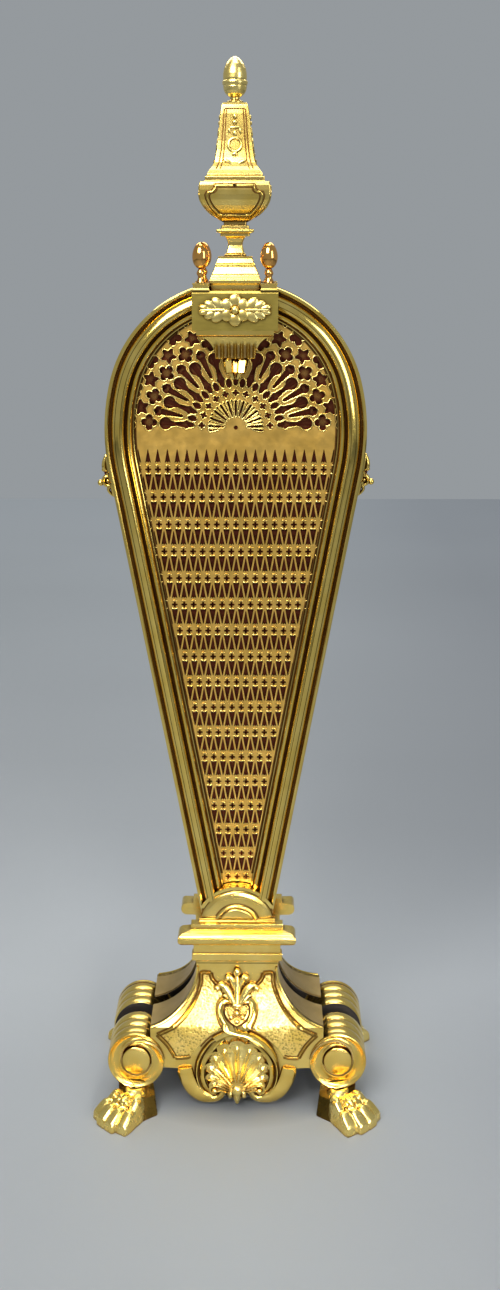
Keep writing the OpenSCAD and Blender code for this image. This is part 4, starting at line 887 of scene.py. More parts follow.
def shell_part():
    """Shell of thirteen ribs that end in drops under a plain scalloped lip."""
    cz = 18.5
    ribs, low, spread = 13, -20.0, 220.0
    na, nr = ribs * 12, 36
    base = [(0, 5.6), (0.12, 5.9), (0.3, 4.4), (0.5, 2.2), (0.68, 1.0), (0.84, 1.2), (0.94, 2.3), (1.0, 2.8)]
    rows = []
    for j in range(nr + 1):
        t = j / nr
        body = float(np.interp(t, *zip(*base)))
        row = []
        for i in range(na + 1):
            a = low + spread * i / na
            rib = ribs * i / na
            across = 2 * (rib - math.floor(rib)) - 1 if i < na else 1.0
            middle = low + spread * (min(math.floor(rib), ribs - 1) + 0.5) / ribs
            lift = max(0.0, math.sin(rad(middle)))
            reach = (22.0 + 21.0 * lift ** 1.5) * (1 - 0.06 * across ** 2)
            r = 3.0 + (reach - 3.0) * t
            ridge = math.exp(-(across / 0.34) ** 2)
            h = body + 1.9 * ridge * min(1.0, max(0.0, (t - 0.04) / 0.16)) * (1 - step(t, 0.80, 0.02))
            h += 0.7 * math.exp(-(across / 0.48) ** 2) * math.exp(-((t - 0.78) / 0.05) ** 2)
            h -= 0.9 * across ** 2 * step(t, 0.86, 0.02)
            row.append((r * math.cos(rad(a)), -BASE_D - (h if j < nr else -0.8), cz + r * math.sin(rad(a))))
        rows.append(row)
    rows.insert(0, [(0.02 * x, y + 1.2, cz + 0.02 * (z - cz)) for x, y, z in rows[0]])
    return grid(rows)


def step(x, at, soft):
    """0 well below at, 1 well above it."""
    return 1 / (1 + math.exp(-max(-40.0, min(40.0, (x - at) / soft))))


def smooth_path(points, n):
    """Catmull-Rom curve through the points, as n points evenly spaced in parameter."""
    p = np.array(points, float)
    p = np.vstack([2 * p[0] - p[1], p, 2 * p[-1] - p[-2]])
    out = []
    for k in range(n):
        u = (len(p) - 3) * k / (n - 1)
        i = min(int(u), len(p) - 4)
        t = u - i
        a, b, c, d = p[i:i + 4]
        out.append(tuple(0.5 * ((2 * b) + (c - a) * t + (2 * a - 5 * b + 4 * c - d) * t * t + (3 * b - a - 3 * c + d) * t ** 3)))
    return out


def spiral(cx, cz, r0, r1, a0, a1, n):
    return [(cx + (r0 + (r1 - r0) * i / n) * math.cos(rad(a0 + (a1 - a0) * i / n)),
             cz + (r0 + (r1 - r0) * i / n) * math.sin(rad(a0 + (a1 - a0) * i / n))) for i in range(n + 1)]


def swept(path, sections):
    """Band on the face whose section, a list of offset and height, may differ at each point of the path."""
    p = np.array(path, float)
    t = np.gradient(p, axis=0)
    t /= np.linalg.norm(t, axis=1)[:, None]
    rows = []
    for (x, z), (tx, tz), section in zip(p, t, sections):
        rows.append([on_face(x - tz * o, z + tx * o, h) for o, h in section])
    return grid(rows, True, True)


def scaled(section, w, h):
    return [(o * w, d * h if d > 0 else d) for o, d in section]


# Rolled margin of each lobe, which curls into a small volute
roll = [(6.4 * math.cos(rad(a)), -0.8 + 4.2 * math.sin(rad(a)) ** 0.8) for a in range(180, -1, -15)]
margin = smooth_path([(40.6, 35.4), (39.9, 29.6), (37.4, 22.4), (33.6, 15.8), (28.4, 11.2), (23.0, 9.4), (18.6, 8.0)], 46)
curl = spiral(17.4, 15.2, 7.0, 2.4, 280, -80, 46)
margin_path = margin[:-1] + curl[1:]
n_m = len(margin_path)
widths = [min(1.0, 0.86 + 0.03 * i, max(0.34, 1 - 0.033 * max(0, i - 26))) for i in range(n_m)]
margin_part = swept(margin_path, [scaled(roll, w, 0.55 + 0.35 * w) for w in widths])
curl_eye = blob((17.4, -BASE_D - 2.0, 15.2), (2.5, 2.4, 2.5))
front_and_rear("base_lobe_rolls", both_sides([margin_part, curl_eye]), CASTING, sharp=60)
curl_line = [(x, -BASE_D - 1.2, z) for x, z in spiral(17.4, 15.2, 4.9, 3.0, 250, -60, 36)]
front_and_rear("base_lobe_lines", both_sides([line_part(curl_line, 1.0)]), DARK_LINES_AND_SHADE)

# Moulded bands round the shell; the one from each horn of the crescent crosses to the other side
band = [(-4.4, -0.8), (-4.4, 1.2), (-3.7, 2.3), (-2.9, 2.2), (-2.4, 0.8), (-1.7, 0.9), (-0.4, 2.6), (1.2, 3.3), (2.3, 2.9),
        (2.8, 1.2), (3.3, 1.2), (3.8, 2.2), (4.4, 1.4), (4.4, -0.8)]
ribbon = [(-2.8, -0.8), (-2.8, 1.0), (-2.2, 2.2), (-1.3, 1.7), (0, 1.5), (1.3, 1.7), (2.2, 2.2), (2.8, 1.0), (2.8, -0.8)]
lower_band = smooth_path([(20.4, 12.4), (25.0, 18.0), (27.5, 25.6), (28.0, 33.5), (26.4, 41.5), (22.6, 49.5), (17.2, 56.2), (10.6, 61)], 60)
fade_in = [min(1.0, 0.3 + 0.05 * i) for i in range(60)]
fade_both = [min(1.0, 0.3 + 0.05 * i, 0.35 + 0.05 * (59 - i)) for i in range(60)]
front_and_rear("base_scroll_bands", [
    swept(lower_band, [scaled(band, min(1.0, f + 0.2), f) for f in fade_in]),
    mirrored(swept(lower_band, [scaled(band, min(1.0, f + 0.2), f) for f in fade_both]))], POLISHED, sharp=40)
horn = smooth_path([(-5.4, 86.0), (-9.4, 87.4), (-12.4, 84.6), (-12.8, 79), (-10.6, 73.6), (-5.6, 69.6), (1.4, 66.8), (9.2, 64.8), (17.2, 60.4),
                    (24.2, 53.4), (29.4, 44.4), (31.6, 35)], 74)
thin = [max(0.3, min(1.0, 0.3 + 0.09 * i, 0.25 + 0.06 * (73 - i))) for i in range(74)]
cross = swept(horn, [scaled(ribbon, w, 0.9 + 0.8 * w) for w in thin])
under = mirrored(swept(horn[:54], [scaled(ribbon, w, 0.5 + 0.4 * w) for w in thin[:54]]))
front_and_rear("base_crescent", [cross, under], POLISHED, sharp=40)


def beside(path, offset, h):
    """Path on the face beside another one."""
    p = np.array(path, float)
    t = np.gradient(p, axis=0)
    t /= np.linalg.norm(t, axis=1)[:, None]
    return [on_face(x - tz * offset, z + tx * offset, h) for (x, z), (tx, tz) in zip(p, t)]


crescent_lines = [line_part(beside(horn[:62], 3.4, 0.1), 1.2), line_part(beside(horn[:40], -3.4, 0.1), 1.1)]
band_lines = [line_part(beside(lower_band[4:], o, h), w) for o, h, w in ((4.9, 0.1, 1.1), (-4.9, 0.1, 1.0), (-2.1, 0.95, 0.8))]
front_and_rear("base_band_lines", both_sides(crescent_lines + band_lines), DARK_LINES_AND_SHADE)
front_and_rear("base_shell", [shell_part(), blob((0, -BASE_D - 5.0, 17.6), (4.4, 3.0, 4.4))], BRIGHT_RELIEF, sharp=50)

# Strapwork: a double line round a matted field
ridge = [(-1.15, -0.6), (-1.15, 0.35), (-0.75, 0.85), (-0.2, 0.2), (0.25, 0.2), (0.75, 0.85), (1.15, 0.35), (1.15, -0.6)]
outer_line = smooth_path([(20.4, 108.2), (27.4, 108.2), (28.2, 101), (30.6, 92.5), (35, 84), (41.2, 76.4), (49.4, 70.2), (61.4, 63.8)], 48)
low_line = smooth_path([(61.4, 63.8), (57.4, 59.4), (53.6, 54.6), (50.4, 49), (47.8, 43.8)], 16)
foot_line = [(47.8, 43.8), (43.6, 43.8), (39.4, 44.2), (36.6, 45.2)]
ear_line = smooth_path([(20.4, 108.2), (19.6, 104.4), (17.6, 101.4), (15.6, 99.6)], 10)
lines = [swept(q, [ridge] * len(q)) for q in (outer_line, low_line, foot_line, ear_line)]
front_and_rear("base_strapwork", lines + [mirrored(q) for q in lines], POLISHED, sharp=40)
chased = [line_part(beside(q, o, 0.3), 0.8) for q in (outer_line, low_line, foot_line, ear_line) for o in (-1.5, 1.5)]
front_and_rear("base_strap_lines", both_sides(chased), DARK_LINES_AND_SHADE)
inner_edge = smooth_path([(36.6, 45.2), (33, 50.4), (28.4, 56.4), (22.2, 62.4), (15.2, 67.2), (13.4, 73), (14.8, 80), (11.4, 88.4), (12.6, 93), (15.6, 99.6)], 44)
field = outer_line[:-1] + low_line[:-1] + foot_line[:-1] + inner_edge[:-1] + ear_line[:0:-1]
field_part = flat([(float(x), float(z)) for x, z in field], [], lambda x, z: on_face(x, z, 0.22)[1],
                  lambda x, z: on_face(x, z, -0.6)[1], [FACE_FOOT + 2.5 * i for i in range(18)])
front_and_rear("base_fields", [field_part, mirrored(field_part)], FIELD, sharp=50)


def relief_tube(path, radius, n=10, flatten=0.95):
    return tube([on_face(x, z, 1.0) for x, z in path], radius, n, flatten)


def taper(n, r0, r1):
    return [r0 + (r1 - r0) * i / (n - 1) for i in range(n)]


def leaf_radii(n, r0, r1, r2):
    """From r0 swelling to r1 and down to r2."""
    return [r0 + (r1 - r0) * math.sin(math.pi * i / (n - 1)) + (r2 - r0) * (i / (n - 1)) ** 3 for i in range(n)]


fleur = [blob(on_face(0, 109.6, 2.2), (2.7, 2.4, 3.4)),
         relief_tube(smooth_path([(0, 82), (0, 88), (0, 96), (0, 103), (0, 108)], 20), leaf_radii(20, 2.2, 3.0, 1.2)),
         blob(on_face(0, 84.0, 1.6), (4.6, 2.4, 2.4))]
half_fleur = [
    blob(on_face(7.0, 105.0, 2.0), (2.4, 2.0, 2.2)),
    relief_tube(smooth_path([(0.8, 94), (2.4, 99), (3.8, 103), (5.8, 105.8), (7.4, 105.6)], 20), leaf_radii(20, 1.4, 2.4, 1.4)),
    relief_tube(smooth_path([(1.2, 84), (4.2, 89), (7.4, 94.6), (11.0, 98.6), (15.0, 98.4)], 30), leaf_radii(30, 1.8, 3.4, 1.8)),
    blob(on_face(15.2, 96.6, 1.8), (2.7, 2.4, 2.6)),
    relief_tube(smooth_path([(0.8, 85.0), (4.6, 87.0), (8.6, 90.6), (11.2, 91.2)], 16), leaf_radii(16, 1.4, 2.0, 0.8)),
    blob(on_face(4.4, 76.4, 1.4), (2.0, 1.9, 2.0)),
    relief_tube(smooth_path([(6.0, 75.0), (8.2, 78.0), (8.6, 81.0)], 10), leaf_radii(10, 1.0, 1.2, 0.5)),
]
berries = [blob(on_face(0, 78.6, 1.6), (2.3, 2.0, 2.6)), blob(on_face(0, 73.6, 1.2), (2.2, 1.6, 1.8))]
front_and_rear("base_fleur", fleur + berries + both_sides(half_fleur), BRIGHT_RELIEF, sharp=60)
shade_line = smooth_path([(3.4, 83.2), (6.0, 84.4), (9.6, 84.0), (10.0, 79.0), (8.0, 75.0), (4.0, 71.6), (0, 70.6)], 30)
front_and_rear("base_crescent_shade", both_sides([line_part([on_face(x, z, 0.12) for x, z in shade_line], 1.5)]), DARK_LINES_AND_SHADE)
drop = [blob((0, -BASE_D - 3.4, 12.4), (2.8, 3.4, 6.4)), blob((0, -BASE_D - 1.6, 6.2), (1.8, 1.8, 2.6)),
        blob((5.2, -BASE_D - 1.0, 11.6), (2.2, 2.2, 3.6)), blob((-5.2, -BASE_D - 1.0, 11.6), (2.2, 2.2, 3.6))]
front_and_rear("base_drop", drop, BRIGHT_RELIEF, sharp=60)


# ---- cornices ----
def u_ring(wx, wy, z, back):
    """Three-sided ring of half width wx and depth wy, open to the back plane."""
    c = 0.5
    left = [(-wx, -back, z), (-wx, -wy + c, z), (-wx + c * 0.3, -wy + c * 0.3, z), (-wx + c, -wy, z)]
    return left + [(-x, y, z) for x, y, z in reversed(left)]


NECK_W, NECK_D = 33.6, 24.5
cornice_line = [(-1.7, 116.6), (-1.5, 118.2), (-0.9, 119.2), (0.2, 119.8), (1.2, 120.2), (1.2, 125.6), (0.9, 126.0), (0, 126.4), (0, 136.4), (1.5, 136.8)]
cornice_line += [(6.7 + 4.9 * math.cos(rad(a)), 141.75 + 4.9 * math.sin(rad(a))) for a in range(-90, 91, 15)]
cornice_line += [(2.0, 147.2), (1.7, 147.6), (1.7, 150.9), (1.4, 151.4), (-4.0, 151.4), (-4.4, 151.8), (-4.4, 153.1), (-4.8, 153.4)]
front_and_rear("cornice_moulding", [grid([u_ring(NECK_W + o, NECK_D + o * 0.9, z, CORNICE_BACK) for o, z in cornice_line], True, True)],
               CASTING, "cornice", sharp=35)


# ---- paws ----
def remeshed(name, parts, voxel, smooth):
    """One closed skin round the parts."""
    verts, faces = [], []
    for points, polygons in parts:
        start = len(verts)
        verts.extend((p[0] * MM, p[1] * MM, p[2] * MM) for p in points)
        faces.extend(tuple(start + i for i in f) for f in polygons)
    mesh = bpy.data.meshes.new(name)
    mesh.from_pydata(verts, [], faces)
    bm = bmesh.new()
    bm.from_mesh(mesh)
    bmesh.ops.recalc_face_normals(bm, faces=bm.faces)
    bm.to_mesh(mesh)
    bm.free()
    ob = bpy.data.objects.new(name, mesh)
    scene.collection.objects.link(ob)
    skin = ob.modifiers.new("skin", "REMESH")
    skin.mode = "VOXEL"
    skin.voxel_size = voxel * MM
    soft = ob.modifiers.new("soft", "SMOOTH")
    soft.factor = 0.5
    soft.iterations = smooth
    done = bpy.data.meshes.new_from_object(ob.evaluated_get(bpy.context.evaluated_depsgraph_get()))
    bpy.data.objects.remove(ob)
    done.name = name
    return done


PAW_X, PAW_Y = 85.0, -50.0
TOES = (((75.5, -57.0), (88.6, -76.6)), ((81.0, -54.0), (98.4, -73.0)), ((86.5, -50.0), (105.4, -66.4)), ((91.0, -45.5), (109.2, -58.4)))


def toe_point(k, t, z):
    """Point at share t of the length of toe k; toe 0 is the inner one."""
    (x0, y0), (x1, y1) = TOES[k]
    return x0 + (x1 - x0) * t, y0 + (y1 - y0) * t, z


def toe_part(k):
    """One blunt toe as a row of arches along its length."""
    (x0, y0), (x1, y1) = TOES[k]
    long = math.dist((x0, y0), (x1, y1))
    ca, sa = (x1 - x0) / long, (y1 - y0) / long
    rows = []
    for t, wide, top in ((-0.12, 3.4, 17.0), (0.05, 4.2, 19.6), (0.2, 4.6, 19.6), (0.34, 4.5, 17.0), (0.44, 4.5, 15.0), (0.58, 5.0, 14.8),
                         (0.7, 5.3, 13.2), (0.82, 5.3, 10.8), (0.93, 5.0, 8.6), (0.98, 4.6, 7.2), (1.0, 4.2, 4.6), (1.01, 3.6, 1.5)):
        row = []
        for i in range(13):
            a = rad(180 * i / 12)
            side = wide * math.copysign(abs(math.cos(a)) ** 0.6, math.cos(a))
            x, y, _ = toe_point(k, t, 0)
            row.append((x - side * sa, y + side * ca, top * math.sin(a) ** 0.5 if 0 < i < 12 else -1.0))
        rows.append(row)
    return grid(rows, True, True)


def paw_meshes():
    """Toes, knuckles and fur of the paw at the front right, as one skin."""
    parts = [blob((PAW_X + 1, PAW_Y - 1, 4), (15, 15, 11.0), 32, 20), blob((PAW_X - 4.5, PAW_Y + 9, 9), (11.5, 12.5, 11.5), 24, 16)]
    for k in range(4):
        parts.append(toe_part(k))
        if k:
            x, y, z = toe_point(k, 0.34, 17.4)
            parts.append(blob((x - 2.2, y - 2.0, z), (2.0, 2.0, 2.4)))
    for a, b in (((73.5, -54.5), (80.5, -61.5)), ((84.0, -56.5), (89.5, -62.0))):
        path = [(a[0] + (b[0] - a[0]) * t, a[1] + (b[1] - a[1]) * t, z) for t, z in ((0, 16), (0.3, 19.0), (0.6, 18.5), (0.85, 16), (1.1, 12))]
        parts.append(tube(path, [2.4, 2.8, 2.4, 1.8, 0.8], 10, up=(0, 0, 1)))
    mesh = remeshed("paw", parts, 0.5, 2)
    bm = bmesh.new()
    bm.from_mesh(mesh)
    for v in bm.verts:
        v.co = behind_volute(v.co / MM) * MM
    bm.to_mesh(mesh)
    bm.free()
    mesh.shade_smooth()
    return mesh


def behind_volute(p):
    """The point, kept above the floor, under the volute and no higher in front of it than its rim seems."""
    p.z = max(p.z, 0.0)
    d = Vector(((p.x - SCROLL_X) / SCROLL_RX, (p.z - SCROLL_Z) / SCROLL_RZ))
    if p.y > -BASE_D - 1.2:
        if d.length < 1.01:
            d *= 1.01 / max(d.length, 1e-6)
            p.x, p.z = SCROLL_X + d.x * SCROLL_RX, SCROLL_Z + d.y * SCROLL_RZ
    elif abs(d.x) < 1:
        rim_z = SCROLL_Z - SCROLL_RZ * math.sqrt(1 - d.x ** 2)
        most = rim_z + 0.5 + 0.30 * (-BASE_D - p.y)
        if p.z > most:
            p.z = most - 0.15 * (p.z - most)
    return p


def heel_part():
    """Block behind the toes, whose front leans back up to the volute."""
    ux, uy = math.cos(rad(-37)), math.sin(rad(-37))
    floor = [(0, 0), (17.5, 0), (21, 12), (17.5, 30), (0, 30)]
    head = [(-6, 15), (9, 15), (17, 16), (17.5, 30), (0, 30)]
    middle = (9.0, 18.0)
    rows = []
    for t, inset in ((0.0, 0.4), (0.03, 0.0), (0.2, 0.0), (0.4, 0.0), (0.55, 0.0), (0.68, 0.0), (0.8, 0.0), (0.97, 0.0), (1.0, 0.4)):
        line = [((1 - t) * a[0] + t * b[0], (1 - t) * a[1] + t * b[1]) for a, b in zip(floor, head)]
        soft = []
        for i, q in enumerate(line):
            for other, share in ((line[i - 1], 0.9), (line[(i + 1) % 5], 0.9)):
                d = math.dist(q, other)
                soft.append((q[0] + (other[0] - q[0]) * share / d, q[1] + (other[1] - q[1]) * share / d))
        soft = [(u + (middle[0] - u) * inset / 14, v + (middle[1] - v) * inset / 14) for u, v in soft]
        ring_points = [Vector((61.2 + u * ux - v * uy, -52 + u * uy + v * ux, 24 * t)) for u, v in soft]
        for q in ring_points:
            d = Vector(((q.x - SCROLL_X) / SCROLL_RX, (q.z - SCROLL_Z) / SCROLL_RZ))
            if q.z > 15 and d.length < 1.03 and q.y < -BASE_D + 1.0:
                q.y = -BASE_D + 1.0
        rows.append([tuple(q) for q in ring_points])
    return grid(rows, True, True)


paw_mesh = paw_meshes()
paw_mesh.materials.append(BRIGHT_RELIEF)
for sx, sy, name in ((1, -1, "front_right"), (-1, -1, "front_left"), (1, 1, "rear_right"), (-1, 1, "rear_left")):
    mesh = paw_mesh.copy()
    bm = bmesh.new()
    bm.from_mesh(mesh)
    for v in bm.verts:
        v.co.x *= sx
        v.co.y *= -sy
    if sx * -sy < 0:
        bmesh.ops.reverse_faces(bm, faces=bm.faces)
    bm.to_mesh(mesh)
    bm.free()
    placed(name + "_paw_toes", mesh, replaces=[name + "_paw"])
    points, faces = heel_part()
    piece(name + "_paw_heel", [([(p[0] * sx, p[1] * -sy, p[2]) for p in points], faces)], SHADED_HEEL, sharp=30)

# ---- crest ----


def rosette_part():
    """Six-petalled flower between two sprays of lobed leaf."""
    cz = BLOCK_Z - 12.2
    parts = [blob((0, -BLOCK_D - 3.2, cz), (2.7, 2.2, 2.7))]
    for k in range(6):
        a = 90 + 60 * k
        parts.append(pod((6.2 * math.cos(rad(a)), -BLOCK_D - 1.4, cz + 6.2 * math.sin(rad(a))), (4.5, 1.7, 4.3), a, "xz"))
    half = [tube([(7 + 16.4 * i / 8, -BLOCK_D - 2.3, cz) for i in range(9)], [1.1, 1.1, 1.1, 1.1, 1.0, 0.9, 0.8, 0.7, 0.3], 8, 1.0)]
    for s in (-1, 1):
        for x, z, long, wide, tilt in ((11.4, 3.9, 5.4, 3.6, 40), (16.2, 2.8, 5.0, 3.0, 26), (20.4, 1.4, 4.0, 2.0, 12)):
            half.append(pod((x, -BLOCK_D - 0.9, cz + s * z), (long, 1.8, wide), s * tilt, "xz"))
    return parts + both_sides(half)


front_and_rear("crest_rosette", rosette_part(), BRIGHT_RELIEF, "rosette", sharp=60)


# Corbel under the block: a hollow fluted bell over a faceted drop
def corbel_part():
    foot, cove = 577.4, 12.9
    rows = []
    for z, w, d in [(595.6, 26.2, 27.0), (592.6, 26.2, 27.0), (592.1, 25.4, 26.2)] + [
            (foot + 14.7 * math.sin(rad(a)), 26.5 - cove * math.cos(rad(a)), 27.0 - 4.6 * math.cos(rad(a)) ** 2)
            for a in range(75, -1, -5)] + [(576.8, 13.2, 22.0), (576.4, 12.0, 21.4)]:
        row = [(-w, -18.0, z)]
        for i in range(91):
            x = w * (-1 + 2 * i / 90)
            rib = max(math.exp(-((x - q) / 0.85) ** 2) for q in (-13.2, -8.8, -4.4, 0.0, 4.4, 8.8, 13.2))
            fluted = (1.0 if abs(x) < 14.2 else 0.0) * max(0.0, min(1.0, (589.5 - z) / 4.5))
            row.append((x, -d - fluted * (2.2 * rib - 0.9), z))
        row.append((w, -18.0, z))
        rows.append(row)
    return grid(rows, True, True)


def corbel_drop():
    rows = []
    for z, w, d in ((576.6, 6.6, 20.6), (575.8, 7.8, 21.4), (575.0, 7.9, 21.8), (567.8, 6.8, 25.0), (567.0, 5.2, 23.4), (562.8, 2.2, 20.6)):
        rows.append([(-w, -18.0, z), (-w, -d + 1.4, z), (-w * 0.86, -d - 0.6, z), (-w * 0.34, -d, z), (-w * 0.16, -d + 2.6, z),
                     (w * 0.16, -d + 2.6, z), (w * 0.34, -d, z), (w * 0.86, -d - 0.6, z), (w, -d + 1.4, z), (w, -18.0, z)])
    return grid(rows, True, True)


front_and_rear("crest_corbel", [corbel_part(), corbel_drop()], CASTING, "corbel", sharp=30)
# Darker brass lines in the hollows between the corbel's ribs: painted shade.
flute_lines = []
for x in (-11, -6.6, -2.2, 2.2, 6.6, 11):
    flute_lines.append(line_part([(x, -27.0 + 4.6 * math.cos(rad(a)) ** 2 + 0.75, 577.4 + 14.7 * math.sin(rad(a))) for a in range(40, -1, -4)],
                                 [0.4, 0.6, 0.8] + [0.9] * 8))
front_and_rear("crest_corbel_flutes", flute_lines, INNER)


def knob_profile():
    z = BLOCK_Z + 5.1
    line = [(0, z - 0.4), (3.4, z - 0.4), (3.4, z + 0.9), (2.5, z + 2.2), (2.0, z + 4.0), (2.6, z + 5.2), (3.0, z + 6.2), (2.7, z + 7.4),
            (2.0, z + 8.6)]
    for i in range(1, 17):
        a = rad(-86 + 11 * i)
        line.append((max(5.8 * math.cos(a) * (1 - 0.1 * math.sin(a)), 0.0), z + 17.7 + 8.7 * math.sin(a)))
    return line


for sx, sy, name in ((-1, -1, "front_left"), (1, -1, "front_right"), (-1, 1, "rear_left"), (1, 1, "rear_right")):
    cx, cy = sx * 22.8, sy * 21.0
    piece(name + "_knob_egg", [lathe(knob_profile(), 40, cx, cy)], COPPER, replaces=[name + "_knob"], sharp=50)
    piece(name + "_knob_plinth", [square_lathe(rounded([(5.75, BLOCK_Z), (5.75, BLOCK_Z + 1.2), (5.35, BLOCK_Z + 1.6), (5.35, BLOCK_Z + 3.9),
                                                        (5.75, BLOCK_Z + 4.3), (5.75, BLOCK_Z + 5.1)], 0.2), 0.3, cx, cy)], CASTING)

pedestal = rounded([(16.4, 621.5), (16.4, 625.4), (16.9, 625.9), (17.3, 626.2), (17.3, 628.3), (16.8, 628.9), (16.3, 631.2), (15.6, 632.4),
                    (14.2, 635.6), (13.7, 636.9), (13.7, 638.2), (12.7, 639.4), (11.8, 641.8), (11.6, 642.4), (11.6, 643.7), (7.4, 643.9)], 0.3)
stem = rounded([(7.4, 643.9), (7.4, 645.0), (6.2, 645.9), (5.3, 649), (4.9, 651), (5.2, 653), (6.2, 655.4), (7.0, 656.4), (10, 656.8), (10, 658.4),
                (12.6, 659.4), (12.7, 660.6), (12.3, 661.3), (9.6, 661.5), (9.4, 663.6), (7.8, 664.0), (7.8, 665.8)], 0.25)
bowl = rounded([(8.2, 665.8), (10.6, 667), (14.9, 670.2), (18.4, 673.3), (21.1, 676.5), (22.8, 679.7), (23.5, 683), (23.6, 686), (23.4, 689),
                (22.9, 691.2), (20.2, 691.5), (19.8, 692), (19.8, 694.4), (18.8, 694.9)], 0.3)
spire = rounded([(18.6, 694.9), (18.5, 696.1), (16.8, 698.6), (14.9, 701.2), (13.6, 703.8), (12.9, 706.6), (12, 711.3), (11.2, 717), (10.5, 723.8),
                 (9.5, 734.2), (8.8, 738.5), (8.6, 739.6), (7.8, 741.0)], 0.3)
piece("urn_pedestal_steps", [square_lathe(pedestal)], CASTING, replaces=["urn_pedestal"])
piece("urn_stem_turned", [square_lathe(stem, 1.2)], CASTING, replaces=["urn_stem"])
piece("urn_bowl_body", [square_lathe(bowl, 0.8)], CASTING, replaces=["urn_bowl"])
piece("obelisk_body", [square_lathe(spire, 0.5)], CASTING, replaces=["obelisk"])


def side_of(profile, z):
    """Half width of a profile at height z."""
    heights = sorted((q[1], q[0]) for q in profile)
    return float(np.interp(z, [h for h, _ in heights], [w for _, w in heights]))


def spire_at(x, z, h=0.0):
    return x, -side_of(spire, z) - h, z


levels = [699.5 + 2.2 * i for i in range(18)]
edges = []
for share, width in ((0.76, 0.9), (0.60, 0.8)):
    path = [spire_at(share * side_of(spire, z), z, 0.12) for z in levels]
    edges.append(line_part(path, width))
top_edge = [line_part([spire_at(x * side_of(spire, 737), 737 + 0.1, 0.05) for x in (-0.72, -0.3, 0.3, 0.72)], 0.9)]
piece("obelisk_lines", four_ways(both_sides(edges) + top_edge), DARK_LINES_AND_SHADE)
medal = tube([spire_at(4.3 * math.cos(rad(a)), 714.5 + 4.3 * math.sin(rad(a)), 0.2) for a in range(0, 361, 15)], 1.0, 8, 0.8)
relief = [medal, blob(spire_at(0, 708.6, 0.2), (2.2, 0.9, 1.4)), blob(spire_at(0, 721.6, 0.2), (1.4, 1.0, 2.0)),
          blob(spire_at(0, 725.4, 0.2), (3.9, 0.8, 0.9)), blob(spire_at(0, 728.6, 0.2), (1.7, 1.1, 1.4)),
          blob(spire_at(0, 732.2, 0.2), (1.3, 1.0, 1.8))]
relief += both_sides([blob(spire_at(3.6, 723.2, 0.2), (0.9, 0.8, 2.0)), pod(spire_at(4.4, 703.6, 0.1), (3.6, 0.8, 1.2), 28, "xz")])
piece("obelisk_relief", four_ways(relief), BRIGHT_RELIEF, sharp=60)


def bowl_at(x, z, h=0.0):
    return x, -side_of(bowl, z) - h, z


panel_half = [(0, 688.6), (6, 688.6), (12.4, 688.6), (13.0, 686.4), (14.6, 684.8), (17.4, 684.4)]
panel_half += [(side_of(bowl, z) - 5.2, z) for z in (682.4, 680.2, 678, 676, 674.2, 672.4, 671.0)] + [(8.4, 670.2), (4, 670.2), (0, 670.2)]
fine = []
for a, b in zip(panel_half, panel_half[1:]):
    fine += [(a[0] + (b[0] - a[0]) * t, a[1] + (b[1] - a[1]) * t) for t in (0, 0.33, 0.67)]
fine.append(panel_half[-1])
piece("urn_bowl_frames", four_ways(both_sides([tube([bowl_at(x, z, 0.1) for x, z in fine], 0.75, 8)])), POLISHED, sharp=60)
wider = [(x * 1.085, 679.4 + (z - 679.4) * 1.12) for x, z in fine]
closer = [(x * 0.915, 679.4 + (z - 679.4) * 0.88) for x, z in fine]
piece("urn_bowl_lines", four_ways(both_sides([line_part([bowl_at(x, z, 0.05) for x, z in q], 0.8) for q in (wider, closer)])), DARK_LINES_AND_SHADE)
acorn = rounded([(0, 741), (5.7, 741), (5.7, 742.2), (4.2, 742.6), (3.3, 743.4), (3.3, 744.8), (4.4, 745.4), (6.2, 746.8), (7.4, 748.8), (7.9, 751.2),
                 (7.6, 751.7), (8.2, 752.4), (8.5, 754.0), (8.2, 754.9), (7.6, 755.2), (7.9, 756.4), (7.8, 759.4), (7.2, 762.4), (6.1, 765.0),
                 (4.5, 767.3), (2.6, 769.0), (1.0, 769.8), (0, 770)], 0.25)
piece("acorn_finial_turned", [lathe(acorn, 40)], BRIGHT_RELIEF, replaces=["acorn_finial"], sharp=50)

# ---- handles ----
def handle_point(side, out, up, y=0.0):
    """Point beside the frame's leg: out from its edge, up along it."""
    ca, sa = math.cos(rad(LEG_A)), math.sin(rad(LEG_A))
    return side * (leg_x(492) + out * ca + up * sa), y, 492 - out * sa + up * ca


